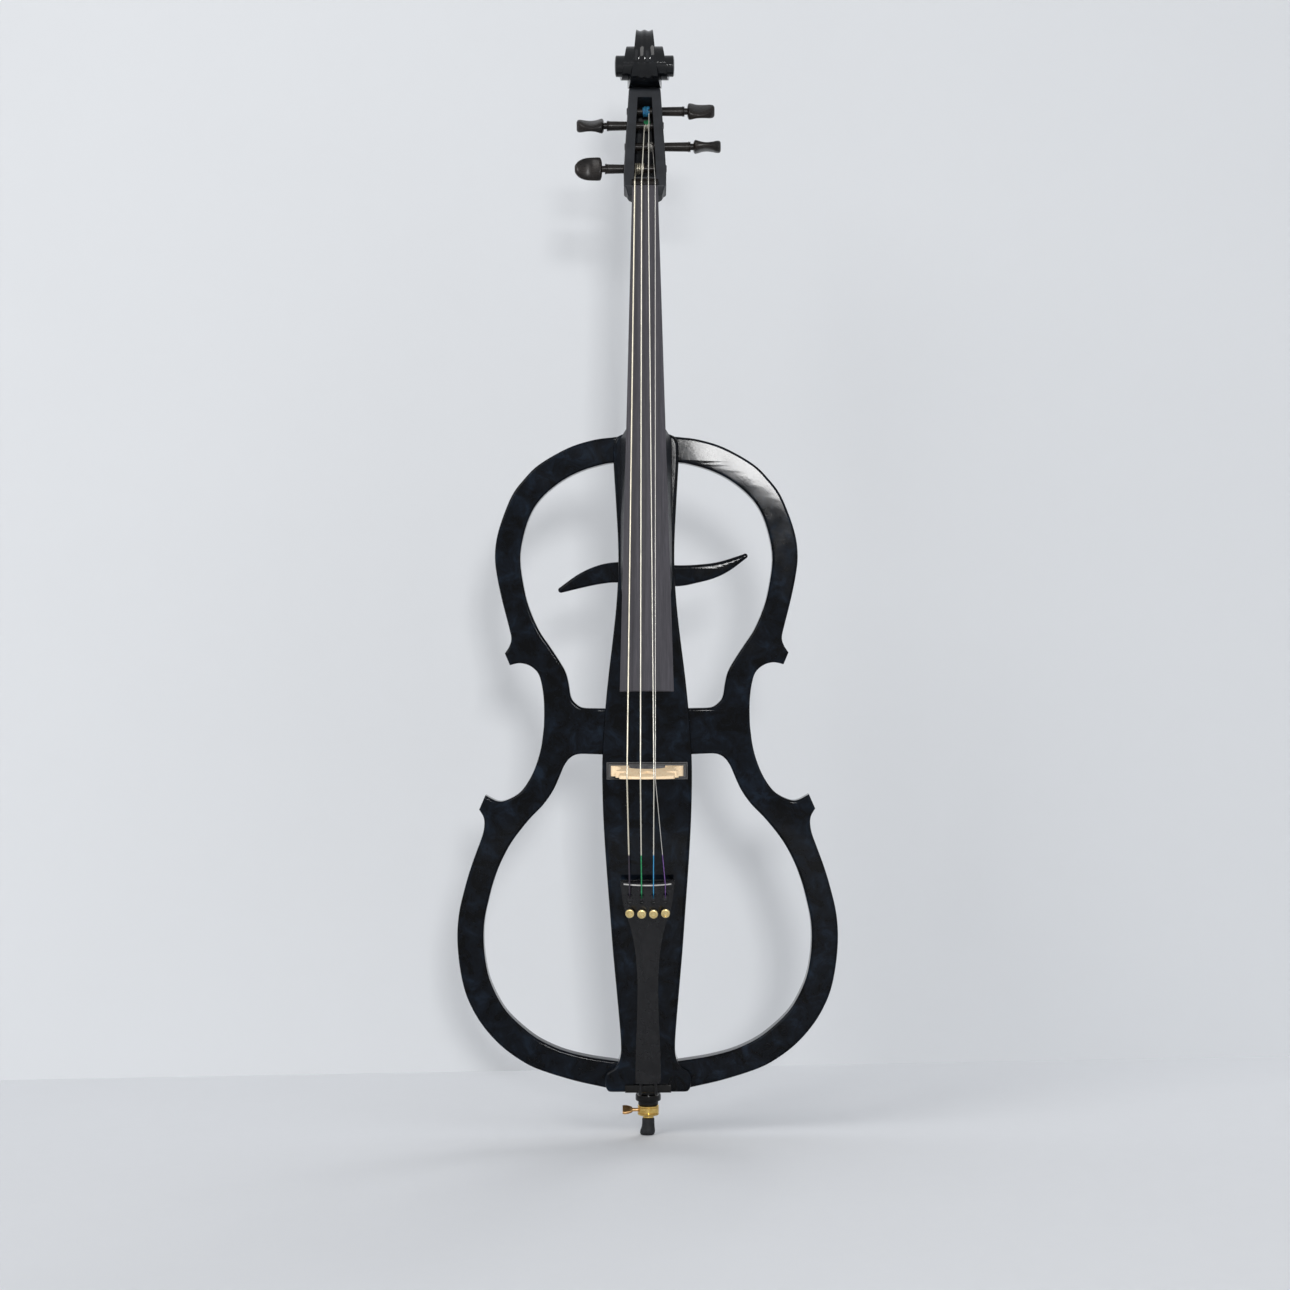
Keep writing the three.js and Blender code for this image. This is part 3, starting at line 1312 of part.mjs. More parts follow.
function tailGut() {
  const lift = cordRadius + clearance;
  const loop = plugGrooveRadius + lift;
  const groove = bodyBase - clearance - plugGrooveHeight / 2;
  const front = spineFront - saddleProud - lift;
  const bend = saddleRound + lift;
  const side = sign => {
    const x = share => sign * THREE.MathUtils.lerp(cordSpread, loop, share);
    const corner = angle => new THREE.Vector3(x(0.25),
      front + bend * (1 - Math.cos(angle)), bodyBase + saddleRound - bend * Math.sin(angle));
    return [
      inTail(sign * cordSpread, cordHolePlace, clearance + cordHoleDepth - tailLength - 2 * clearance),
      inTail(sign * cordSpread, cordHolePlace, -tailLength),
      new THREE.Vector3(x(0.1), front, bodyBase + saddleHeight),
      corner(0), corner(Math.PI / 6), corner(Math.PI / 3),
      new THREE.Vector3(x(0.45), spineFront - clearance, groove + clearance),
      new THREE.Vector3(x(1), 0, groove),
    ];
  };
  const behind = Array.from({ length: 11 }, (_, step) => {
    const angle = Math.PI * (step + 1) / 12;
    return new THREE.Vector3(loop * Math.cos(angle), loop * Math.sin(angle), groove);
  });
  return tube([...side(1), ...behind, ...side(-1).toReversed()], cordRadius, 6);
}

// End pin
function endpinPlug() {
  const bore = rodRadius + clearance;
  const flange = plugBase + plugNeckHeight;
  const groove = flange + plugFlangeHeight;
  const shaft = groove + plugGrooveHeight;
  const bevel = plugFlangeHeight * bevelShare;
  return turned([
    [bore, plugBase], [plugNeckRadius, plugBase], [plugNeckRadius, flange],
    [plugFlangeRadius - bevel, flange], [plugFlangeRadius, flange + bevel],
    [plugFlangeRadius, groove - bevel], [plugFlangeRadius - bevel, groove], [plugGrooveRadius, groove],
    [plugGrooveRadius, shaft], [plugShaftRadius, shaft],
    [plugShaftRadius - plugShaftTaper, shaft + plugShaftLength], [bore, shaft + plugShaftLength],
    [bore, plugBase],
  ], turnedSides);
}

const thumbscrewPlace = collarBase + collarLipHeight + collarHeight / 2;

function endpinCollar() {
  const low = collarBase + clearance;
  const wide = collarBase + collarLipHeight;
  const top = plugBase - clearance;
  const bore = rodRadius + clearance;
  const blank = turned([
    [bore, low], [collarLipRadius, low], [collarLipRadius, wide], [collarRadius - collarBead, wide],
    [collarRadius, wide + collarBead], [collarRadius, top - collarBead], [collarRadius - collarBead, top],
    [bore, top], [bore, low],
  ], turnedSides);
  const hole = placed(alongX(rod(thumbscrewRadius + clearance, -collarRadius - overrun, 0, boreSides)), {
    z: thumbscrewPlace });
  return cut(blank, hole);
}

function endpinThumbscrew() {
  const tip = -rodRadius - 2 * clearance;
  const end = -thumbscrewReach;
  const shank = rod(thumbscrewRadius, end - thumbscrewRadius, tip, boreSides);
  const wing = skin([[1, 0.9, -1], [0.86, 1, -0.5], [0.5, 1, 0]].map(([wide, thick, place]) =>
    roundedRing(wide * thumbscrewWidth / 2, -thick * thumbscrewThickness / 2, thick * thumbscrewThickness / 2,
      end + place * thumbscrewWing, thumbscrewThickness / 3)));
  const whole = alongX(join(shank, wing));
  whole.rotateX(thumbscrewTurn - Math.PI / 2);
  return placed(whole, { z: thumbscrewPlace });
}

function endpinFoot() {
  const socket = rodRadius + clearance;
  const bevel = footHeight * bevelShare;
  return turned([
    [0, 0], [footFlatRadius, 0], [footRadius, bevel], [footTopRadius, footHeight - bevel / 2],
    [footTopRadius - bevel / 2, footHeight], [socket, footHeight], [socket, rodBase - clearance],
    [0, rodBase - clearance],
  ], turnedSides);
}

// Controls
function controlCover() {
  const blank = backPanel(bayHalf + plateMargin, bayHalfLength + plateMargin,
    bayCorner + plateMargin - clearance, plateFront, spineBack, bayPlace);
  const through = (spot, radius) => placed(alongY(rod(radius, plateFront - overrun, spineBack + overrun)), spot);
  const slide = switchNub / 2 + switchTravel / 2 + clearance;
  const slot = box(-slide, slide, plateFront - overrun, spineBack + overrun,
    bayPlace + switchPlace - switchNub / 2 - clearance, bayPlace + switchPlace + switchNub / 2 + clearance);
  return cut(blank, slot,
    through(controlSpots.volume, bushRadius + clearance), through(controlSpots.tone, bushRadius + clearance),
    through(jackSpot, jackRadius + clearance), through(phoneSpot, phoneRadius + clearance),
    ...plateScrewSpots().map(spot => plateScrewAt(spot, clearance)));
}

// Circuit board with both potentiometers and the switch case soldered to it
function preampBoard() {
  const back = bayFloor + circuitLift + circuitThickness;
  const middle = bayPlace + circuitPlace;
  const card = box(-circuitHalf, circuitHalf, bayFloor + circuitLift, back,
    middle - circuitHalfLength, middle + circuitHalfLength);
  const edge = 2 * circuitPostRadius;
  const posts = [-1, 1].flatMap(side => [-1, 1].map(end => placed(
    alongY(rod(circuitPostRadius, bayFloor + clearance, back - weld, boreSides)), {
      x: side * (circuitHalf - edge), z: middle + end * (circuitHalfLength - edge) })));
  const pots = Object.values(controlSpots).map(spot => placed(alongY(turned([
    [0, back - circuitThickness / 2], [potRadius, back - circuitThickness / 2],
    [potRadius, plateFront - clearance], [bushRadius, plateFront - clearance], [bushRadius, spineBack],
    [controlShaftRadius, spineBack], [controlShaftRadius, spineBack + controlShaftHeight],
    [0, spineBack + controlShaftHeight],
  ], boreSides + 2)), spot));
  const chips = [-1, 1].map(side => box(side * chipHalf * 2 - chipHalf, side * chipHalf * 2 + chipHalf,
    back - circuitThickness / 2, back + chipHeight,
    bayPlace + chipPlace - chipHalf, bayPlace + chipPlace + chipHalf));
  const low = bayPlace + switchPlace - switchHalfHeight;
  const high = bayPlace + switchPlace + switchHalfHeight;
  const wall = 2 * clearance;
  const switchCase = box(-switchHalf, switchHalf, back - circuitThickness / 2, plateFront - clearance, low, high);
  const well = box(-switchHalf + wall, switchHalf - wall, plateFront - switchWell, plateFront + overrun,
    low + wall, high - wall);
  return join(card, ...posts, ...pots, ...chips, cut(switchCase, well));
}

function powerSwitch() {
  const middle = bayPlace + switchPlace;
  const base = plateFront - switchWell + clearance;
  const shoe = box(-switchNub, switchNub, base, plateFront - 2 * clearance,
    middle - switchNub / 2, middle + switchNub / 2);
  const nub = box(-switchNub / 2, switchNub / 2, base + clearance, spineBack + switchNubHeight,
    middle - switchNub / 2 + clearance, middle + switchNub / 2 - clearance);
  return placed(join(shoe, nub), { x: -switchTravel / 2 });
}

function controlKnob(spot) {
  const low = spineBack + controlKnobGap;
  const high = low + controlKnobHeight;
  const bore = controlShaftRadius + clearance;
  const floor = spineBack + controlShaftHeight + clearance;
  const bevel = controlKnobTaper;
  const blank = turned([
    [bore, low], [controlKnobRadius, low], [controlKnobRadius - controlKnobTaper, high - bevel],
    [controlKnobRadius - 2 * bevel, high], [0, high], [0, floor], [bore, floor], [bore, low],
  ]);
  const mark = box(-clearance, clearance, high - clearance, high + overrun, bevel, controlKnobRadius);
  return placed(cut(alongY(blank), mark), spot);
}

function socket(spot, radius, bore, depth, flange, flangeHeight) {
  const back = spineBack + clearance + flangeHeight;
  const low = spineBack - depth;
  return placed(alongY(turned([
    [0, low], [radius, low], [radius, spineBack + clearance], [flange, spineBack + clearance],
    [flange, back], [bore, back], [bore, low + jackFloor], [0, low + jackFloor],
  ])), spot);
}

function coverScrew(spot) {
  const blank = plateScrewAt(spot);
  const back = spineBack + clearance + plateScrewHeadHeight;
  const groove = plateScrewHeadHeight / 2;
  return cut(blank, box(spot.x - overrun, spot.x + overrun, back - groove, back + overrun,
    spot.z - clearance, spot.z + clearance));
}

add('spine', cut(spineBlank(), ...spineCuts()), finishes.lacquer.clone());
add('wing_left', wing(-1), finishes.lacquer.clone());
add('wing_right', wing(1), finishes.lacquer.clone());
add('chest_rest', chestRest(), finishes.lacquer.clone());
add('rest_screw_left', restScrewAt(-1), finishes.steel.clone());
add('rest_screw_right', restScrewAt(1), finishes.steel.clone());
add('neck', neck(), finishes.lacquer.clone());
add('fingerboard', fingerboard(), finishes.board.clone());
add('nut', nutBlank(0), finishes.ebony.clone());
add('bridge', bridge(), finishes.maple.clone());
add('bridge_tray', bridgeTray(), finishes.plastic.clone());
add('pickup', pickup(), finishes.steel.clone());
add('tailpiece', tailpiece(), finishes.ebony.clone());
add('tail_fret', tailFret(), finishes.ebony.clone());
add('tuner_axle', tunerAxle(), finishes.steel.clone());
add('tail_gut', tailGut(), finishes.plastic.clone());
add('saddle', saddle(), finishes.ebony.clone());
add('endpin_plug', endpinPlug(), finishes.ebony.clone());
add('endpin_collar', endpinCollar(), finishes.brass.clone());
add('endpin_thumbscrew', endpinThumbscrew(), finishes.brass.clone());
add('endpin_rod', rod(rodRadius, rodBase, rodTop), finishes.steel.clone());
add('endpin_foot', endpinFoot(), finishes.rubber.clone());
for (const name of ['c', 'g', 'd', 'a']) {
  const x = tunerPlaces[name];
  add(`lever_${name}`, tunerLever(x), finishes.paleBrass.clone());
  add(`tuner_screw_${name}`, tunerScrew(x), finishes.paleBrass.clone());
  add(`tuner_knob_${name}`, tunerKnob(x), finishes.paleBrass.clone());
  add(`peg_${name}`, pegSolid(pegPlan[name]), finishes.ebony.clone());
  add(`winding_${name}`, tube(windingPoints(name), stringRadii[name], 6), finishes.string.clone());
  add(`string_${name}`, string(name), finishes.string.clone());
  console.log(`winding_${name} least gap to itself ${windingSelfGap(name).toFixed(3)} mm`);
}
add('control_cover', controlCover(), finishes.plastic.clone());
add('preamp_board', preampBoard(), finishes.circuit.clone());
add('volume_knob', controlKnob(controlSpots.volume), finishes.plastic.clone());
add('tone_knob', controlKnob(controlSpots.tone), finishes.plastic.clone());
add('power_switch', powerSwitch(), finishes.steel.clone());
add('output_jack', socket(jackSpot, jackRadius, jackBore, jackDepth, jackFlange, jackFlangeHeight),
  finishes.steel.clone());
add('headphone_jack', socket(phoneSpot, phoneRadius, phoneBore, phoneDepth, phoneFlange, phoneFlangeHeight),
  finishes.steel.clone());
plateScrewSpots().forEach((spot, i) => add(`cover_screw_${i + 1}`, coverScrew(spot), finishes.steel.clone()));
add('battery', battery(), finishes.cell.clone());
add('battery_door', batteryDoor(), finishes.plastic.clone());

export default cello;
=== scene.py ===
# Looks of the electric cello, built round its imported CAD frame. Shape sizes are in millimetres.
import json
from math import atan2, copysign, cos, pi, radians, sin, sqrt, tan

import bmesh
import bpy
from mathutils import Matrix, Vector


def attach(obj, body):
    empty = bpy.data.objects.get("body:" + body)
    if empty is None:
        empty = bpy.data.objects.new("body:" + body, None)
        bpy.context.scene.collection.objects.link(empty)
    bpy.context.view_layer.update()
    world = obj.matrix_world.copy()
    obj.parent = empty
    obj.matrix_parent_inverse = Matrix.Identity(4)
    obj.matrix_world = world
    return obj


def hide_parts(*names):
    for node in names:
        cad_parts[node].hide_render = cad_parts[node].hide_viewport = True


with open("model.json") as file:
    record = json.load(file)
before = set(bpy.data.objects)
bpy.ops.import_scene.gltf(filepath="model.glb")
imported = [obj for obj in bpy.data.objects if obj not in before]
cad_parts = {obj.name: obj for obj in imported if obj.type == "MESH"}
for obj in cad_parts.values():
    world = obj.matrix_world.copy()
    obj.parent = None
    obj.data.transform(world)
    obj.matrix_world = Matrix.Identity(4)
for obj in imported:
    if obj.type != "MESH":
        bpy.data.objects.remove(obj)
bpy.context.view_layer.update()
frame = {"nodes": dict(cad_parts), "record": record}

MM = 0.001
STRINGS = "cgda"
SIDES = {"left": -1, "right": 1}
CLEAR = 0.3
OVERRUN = 6
SHARP_ANGLE = radians(40)
CAD_EDGE = 0.25
ACROSS = [step / 12 - 1 for step in range(25)]

# Body
BODY_BASE, BODY_LENGTH = 53.1, 764
BODY_TOP = BODY_BASE + BODY_LENGTH
SPINE_HALF, SPINE_FRONT, SPINE_BACK, SPINE_EDGE = 52.2, -23, 23, 4
UPPER_HALF, WAIST_HALF, LOWER_HALF = 176.4, 119.9, 221.8
UPPER_CORNER, LOWER_CORNER, WAIST_MIDDLE = 0.904, 0.85, 0.55
WING_FRONT, WING_BACK, WING_EDGE, WING_INSERT = -12, 13, 3, 9
REST_PLACE, REST_HALF, REST_RISE, REST_THICK, REST_EDGE = 655.5, 118.6, 22.7, 14, 3.6
REST_SCREW_SIDE, REST_SCREW_TIP, REST_WELL_RADIUS, REST_WELL_DEPTH = 17, 6.9, 5, 3
REST_SLOT_HALF, REST_SLOT_RISE, REST_SLOT_DEPTH, REST_SLOT_REACH = 4, 0.5, 1, 3.1
REST_SCREW = [(0, 0), (2.4, 0), (2.4, 27.4), (4.6, 27.4), (4.4, 28.8), (3.4, 30), (0, 30)]

# Strings, nut, bridge and fingerboard
NUT_PLACE, NUT_FRONT, NUT_LENGTH, NUT_CREST, NUT_DROP, NUT_FALL = 1106.916, -20.6, 8, 3, 0.6, 7.4
NUT_HALF, NUT_DEPTH, NUT_SPACING = 15.2, 9, 7.9
CROWN_PLACE, CROWN_FRONT, CROWN_RADIUS, CROWN_THICK = 421.5, -100, 62, 2.8
BRIDGE_LOW, BRIDGE_HALF, BRIDGE_BASE, BRIDGE_FOOT, BRIDGE_SPACING = 420.1, 42, -21.6, 12, 15.2
SLIPPED = 1.7
WIRES = {"c": 0.85, "g": 0.7, "d": 0.58, "a": 0.42}
BALL_SEAT, BALL_DROP = 0.4, 5.2
BALL_PROFILE = [(0, -1.9), (1.4, -1.9), (1.9, -1.3), (1.9, 1.3), (1.4, 1.9), (0, 1.9)]
BOARD_LENGTH, BOARD_TOP, BOARD_FRONT, BOARD_ANGLE = 589.95, 1106.616, -19, 0.10796
BOARD_HALVES, BOARD_RADIUS, BOARD_EDGE, BOARD_HOLLOW, HOLLOW_LENGTH = (14.9, 30.9), 63, 6.4, 3.6, 120
BOARD_STEPS, BOARD_SOFT = 12, 0.6
TRAY_HALF, TRAY_PLACE, TRAY_HEIGHT, TRAY_WALL, TRAY_PROUD, TRAY_FLOOR = 47.2, 426.1, 20.4, 1.7, 1.2, 1.2
POCKET_DEPTH = 4.5

# Neck, pegbox and scroll
NECK_DEPTH, NECK_GROWTH, NECK_SHOULDER, NECK_REACH, NECK_STEPS = 27.5, 4, 0.25, 1.04, 16
ROOT_HALF, ROOT_LENGTH, ROOT_SWEEP, ROOT_LEAST, ROOT_STEPS = 30, 192, 40, 0.06, 16
HEEL_RISE, HEEL_DEPTH, HEEL_ROUND, HEEL_CURVE, HEEL_STEPS = 62, 36, 0.8, 1.5, 24
HEAD_TILT, HEAD_DROP, HEAD_RISE = radians(17), 5, 10.2
PEGBOX_HEIGHT, PEGBOX_HALF, PEGBOX_DEPTH, PEGBOX_EDGE = 111, 24.9, 51, 1.5
PEGBOX_ROUND, PEGBOX_FADE, PEGBOX_FADE_LENGTH = 9, 1.22, 0.3
CAVITY_HALF, CAVITY_HEIGHT, CAVITY_DEPTH, CAVITY_ROUND = 13.3, 103, 42, 2.4
SCROLL_HEIGHT, SCROLL_DEPTH, SCROLL_RADIUS, SCROLL_HALF = 147.8, 8, 43.1, 33.8
SCROLL_TURNS, SCROLL_STEPS, SCROLL_FADE = 2 + 1 / 3, 72, 9
SCROLL_FLUTE, SCROLL_DOME, SCROLL_SCOOP, SCROLL_MERGE = 1.6, 1.4, 1.3, 5e-5
SCROLL_DOME_ROWS = [(0, 1), (0.7, 0.85), (1, 0.5), (1.05, 0)]
PEG_SMALL, PEG_LARGE, PEG_NECK, PEG_NECK_LENGTH = 4.4, 5.6, 3.9, 3.4
PEG_RING, PEG_RING_LENGTH, PEG_FLUSH = 6.3, 3.2, 1.5
PEG_HEAD_LENGTH, PEG_HEAD_HALF, PEG_HEAD_THICK, PEG_HEAD_SQUARE = 32, 13.6, 7.2, 0.75
WINDING_GAP, LOOP_STEPS = 0.55, 36
PEG_PLANS = {
    "c": (-1, 21.8, 24, 50.4, 0, -10.8, 1, 4), "a": (1, 49.7, 23, 57.2, 88, 9, -1, 4),
    "g": (-1, 75.8, 20, 48.3, 62, -0.5, 1, 3), "d": (1, 93.4, 18, 50.3, -52, 5, -1, 4),
}
PEG_WORDS = ("side", "height", "depth", "reach", "turn", "leaves", "runs", "loops")
PEGS = {name: dict(zip(PEG_WORDS, plan)) for name, plan in PEG_PLANS.items()}

# Tailpiece, fine tuners and tail cord
TAIL_FRONT, TAIL_PLACE, TAIL_TILT, TAIL_LENGTH = -73, 300, 0.15182, 238.04
TAIL_HALF, TAIL_DROP, TAIL_EDGE, TAIL_WALL, TAIL_SIDE = 30.9, 8.6, 7, 3.4, 4
TAIL_HOLLOW, TAIL_MARGIN, TAIL_BORE = 66, 6, 15
TUNERS = {"c": -20.4, "g": -6.8, "d": 6.8, "a": 20.4}
SLOT_TOP, SLOT_LENGTH, SLOT_WIDTH = 12, 13, 4.4
SCREW_PLACE, SCREW_RADIUS, SCREW_REACH, SCREW_PITCH, THREAD_DEPTH = 34.5, 1.7, 11.2, 0.7, 0.16
KNOB_RADIUS, KNOB_HEIGHT, KNOB_STANDOFF, KNOB_BORE = 5.1, 5.2, 2.6, 3.4
KNOB_FLUTES, KNOB_FLUTE_DEPTH = 30, 0.35
CLAW_DEPTH, CLAW_LENGTH, PIVOT_PLACE, ARM_END, LEVER_WIDTH = 7.6, 3, 20, 37.2, 5
FRET_INSET, FRET_LENGTH, FRET_THICK, FRET_SHARE = 1.5, 1.5, 1.7, 0.9
CORD_RADIUS, CORD_SPREAD, CORD_HOLE, CORD_HOLE_DEPTH, CORD_BORE = 1.8, 8, 5.6, 9, 2.1
SADDLE_HALF, SADDLE_HEIGHT, SADDLE_DEPTH, SADDLE_PROUD, SADDLE_ROUND = 26.8, 9, 12, 5.5, 3

# End pin
FOOT_HEIGHT, FOOT_RADIUS, FOOT_TOP, FOOT_FLAT, FOOT_BULGE, FOOT_BULGE_HEIGHT = 19.8, 8.4, 7.2, 5.5, 1.8, 11
ROD_RADIUS, ROD_BASE, ROD_TOP = 4, 6.8, 356.8
COLLAR_RADIUS, COLLAR_LIP, LIP_RADIUS, COLLAR_TOP, COLLAR_GROOVE = 12.5, 23, 6.4, 35.1, 0.45
PLUG_BASE, PLUG_FLANGE, PLUG_GROOVE, PLUG_SHAFT = 35.4, 40, 48.2, 52.8
PLUG_NECK, PLUG_WIDE, PLUG_SLIM, PLUG_ROUND, PLUG_LENGTH = 11.8, 14.9, 11.4, 13, 34
THUMB_PLACE, THUMB_REACH, THUMB_WING, THUMB_WIDTH, THUMB_THICK, THUMB_RADIUS = 29.2, 18.6, 11.4, 13, 4, 2.3
THUMB_TURN = radians(38)

# Controls and battery in the back
BAY_PLACE, BAY_HALF, BAY_LENGTH, BAY_DEPTH = 285.1, 30, 60, 16
PLATE_THICK, PLATE_MARGIN, PLATE_CORNER, PLATE_EDGE = 3, 6, 4.5, 0.4
COVER_BORE, COVER_SCREW_TIP, COVER_SCREW_RADIUS, COVER_HEAD = 1.9, 14.9, 1.6, 2.7
CROSS_BARS = ((1.7, 0.3), (0.3, 1.7))
KNOB_SPOTS = {"volume": (-15, 323.1), "tone": (15, 323.1)}
JACKS = {"output": (17, 251.1, 6, 3.3, 9, 2, 24), "headphone": (-17, 251.1, 3.4, 1.85, 5, 1.4, 12)}
JACK_FLOOR = 2.5
SWITCH_PLACE, SWITCH_NUB, SWITCH_TRAVEL, SWITCH_RISE, SWITCH_SHOE = 297.1, 3.4, 3, 2.6, 2.7
DIAL_RADIUS, DIAL_HEIGHT, DIAL_GAP, DIAL_BORE, DIAL_POST, DIAL_HOLE = 8.5, 13, 0.8, 9.3, 3, 4.8
DIAL_FLUTES, DIAL_FLUTE_DEPTH, DIAL_MARK_HALF, DIAL_MARK_START = 36, 0.5, 0.4, 1.6
DOOR_PLACE, DOOR_HALF, DOOR_RISE, DOOR_THICK, DOOR_CORNER = 465.1, 28.6, 17.6, 2.4, 0.8
DOOR_NOTCH = [(0, -1.1), (5.5, -1.1), (6.5, 0), (8.5, 2), (0, 2)]
RIB_COUNT, RIB_HALF, RIB_START, RIB_STEP, RIB_DEPTH = 4, 14, -10, 4, 0.5
BATTERY_HALF, BATTERY_RISE, BATTERY_DEEP = 25.2, 14.2, 21.1

# Camera, room and light, in metres
CAMERA_SPOT, CAMERA_ROLL, CAMERA_LENS, CAMERA_SENSOR = (-0.0019, -3.14, 0.572), 0.0035, 75, 36
WALL_LEFT, WALL_RIGHT, WALL_SPREAD, WALL_HEIGHT, FLOOR_HALF = (-0.852, 0.41), (0.893, 0.58), 3, 6, 5
FLOOR_COLOR, WALL_COLOR = (0.71, 0.725, 0.75), (0.705, 0.72, 0.74)
PALE, SOFT, SOFT_STRENGTH = (0.78, 0.80, 0.835), (0.95, 0.97, 1), 0.4
LAMPS = {
    "front": ((0.48, -6.3, 1.42), (0, 0, 0.7), 0.6, 125, (1, 1, 1)),
    "high": ((-3.7, -3.9, 3.9), (0, 0.2, 0.6), 3.4, 160, (1, 0.985, 0.965)),
    "side": ((3.6, -3.4, 2.2), (0, 0, 0.6), 3.2, 20, (0.94, 0.965, 1)),
    "back": ((1.6, 3.2, 2.4), (0, 0, 0.7), 1.6, 35, (1, 1, 1)),
}

# Outlines as shares of a half width and of the body's length
SPINE_SHARES = [
    (0.8, 0), (0.88, 0.001), (0.935, 0.006), (0.961, 0.014), (0.961, 0.025), (0.9, 0.031), (0.77, 0.036),
    (0.67, 0.044), (0.615, 0.055), (0.602, 0.068), (0.622, 0.095), (0.7, 0.156), (0.778, 0.216),
    (0.844, 0.277), (0.911, 0.338), (0.967, 0.399), (0.992, 0.444), (1, 0.49), (0.978, 0.535),
    (0.917, 0.59), (0.844, 0.638), (0.756, 0.687), (0.678, 0.736), (0.63, 0.786), (0.628, 0.833),
    (0.672, 0.894), (0.722, 0.954), (0.722, 0.98), (0.7, 0.989), (0.63, 0.996), (0.5, 1),
]
UPPER_OUTER_SHARES = [
    (0.224, 0.996), (0.35, 0.992), (0.515, 0.98), (0.706, 0.955), (0.812, 0.931), (0.888, 0.907),
    (0.954, 0.87), (0.99, 0.84), (1, 0.812), (0.987, 0.785), (0.954, 0.748), (0.91, 0.708),
    (0.894, 0.69), (0.907, 0.678), (0.937, 0.667),
]
WAIST_SHARES = [
    (1, 0.649), (0.706, 0.652), (0.412, 0.648), (0.176, 0.637), (0.067, 0.62), (0.006, 0.596),
    (0, 0.566), (0.044, 0.527), (0.136, 0.497), (0.255, 0.474), (0.415, 0.455), (0.627, 0.444),
    (0.796, 0.442), (1, 0.451),
]
LOWER_OUTER_SHARES = [
    (0.883, 0.429), (0.861, 0.418), (0.856, 0.406), (0.866, 0.39), (0.895, 0.367), (0.932, 0.337),
    (0.963, 0.306), (0.99, 0.272), (1, 0.237), (0.992, 0.199), (0.969, 0.161), (0.932, 0.131),
    (0.869, 0.1), (0.777, 0.07), (0.672, 0.047), (0.57, 0.032), (0.396, 0.016), (0.262, 0.007),
]
LOWER_INNER_SHARES = [
    (0.189, 0.046), (0.32, 0.052), (0.451, 0.062), (0.564, 0.077), (0.646, 0.094), (0.73, 0.117),
    (0.782, 0.139), (0.829, 0.169), (0.852, 0.199), (0.861, 0.23), (0.856, 0.26), (0.834, 0.291),
    (0.806, 0.321), (0.764, 0.352), (0.706, 0.382), (0.622, 0.413), (0.546, 0.436), (0.493, 0.458),
    (0.457, 0.481), (0.436, 0.495), (0.405, 0.507), (0.362, 0.513), (0.29, 0.513),
]
UPPER_INNER_SHARES = [
    (0.33, 0.583), (0.422, 0.584), (0.468, 0.59), (0.5, 0.6), (0.515, 0.62), (0.535, 0.638),
    (0.581, 0.657), (0.644, 0.679), (0.71, 0.702), (0.769, 0.733), (0.805, 0.763), (0.832, 0.809),
    (0.809, 0.847), (0.756, 0.882), (0.673, 0.908), (0.548, 0.931), (0.416, 0.946), (0.281, 0.955),
    (0.224, 0.957),
]
REST_UPPER_SHARES = [
    (-0.857, -0.665), (-0.673, 0.018), (-0.48, 0.463), (-0.286, 0.634), (0, 0.6), (0.284, 0.463),
    (0.51, 0.489), (0.725, 0.634), (0.965, 1.02),
]
REST_LOWER_SHARES = [
    (1, 0.83), (0.833, 0.181), (0.683, -0.211), (0.51, -0.458), (0.306, -0.639), (0, -0.56),
    (-0.286, -0.436), (-0.437, -0.493), (-0.61, -0.665), (-0.84, -0.95),
]

# Sections of the head, the bridge and the tailpiece as shares of their own sizes
SCROLL_RADIUS_SHARES = [1.09, 1.045, 1, 0.784, 0.617, 0.571, 0.543, 0.462, 0.39, 0.334, 0.29]
SCROLL_WIDTH_SHARES = [0.53, 0.414, 0.287, 0.396, 0.58, 0.598, 0.612, 0.725, 0.828, 0.917, 1]
PEGBOX_SHARES = [
    (-0.19, 0.8, 0.12, 0.5), (-0.115, 0.915, 0, 0.64), (-0.1, 0.99, 0, 0.68), (0.03, 1, 0, 0.88),
    (0.2, 0.964, 0, 1), (0.4, 0.915, 0, 1), (0.63, 0.851, 0, 0.92), (0.83, 0.8, 0, 0.82),
    (1, 0.757, 0, 0.75), (1.063, 0.735, 0.14, 0.8), (1.144, 0.7, 0.34, 0.92),
    (1.234, 0.64, 0.54, 1.035), (1.315, 0.56, 0.66, 1.01),
]
CAVITY_SHARES = [
    (-0.044, 1, 0.04), (0.055, 0.98, 0.86), (0.437, 0.86, 1), (0.728, 0.75, 0.9), (1, 0.62, 0.72),
]
BRIDGE_SIDE_SHARES = [
    (1, 0.045), (0.96, 0.085), (0.8, 0.14), (0.72, 0.23), (0.73, 0.35), (0.83, 0.44), (0.86, 0.49),
]
BRIDGE_NOTCH_SHARES = [(0.8, 0.53), (0.64, 0.52), (0.53, 0.56), (0.53, 0.63), (0.63, 0.66), (0.74, 0.68)]
BRIDGE_ARCH_SHARES = [(0.5, 0.055), (0.56, 0.11), (0.5, 0.22), (0.3, 0.31), (0, 0.335)]
BRIDGE_HEART_SHARES = [(0, 0.5), (0.13, 0.57), (0.24, 0.65), (0.24, 0.73), (0.13, 0.76), (0, 0.7)]
BRIDGE_CROWN_SHARE, BRIDGE_CORNER_SHARE, BRIDGE_RISE_SHARE = 0.752, 0.05, 0.06
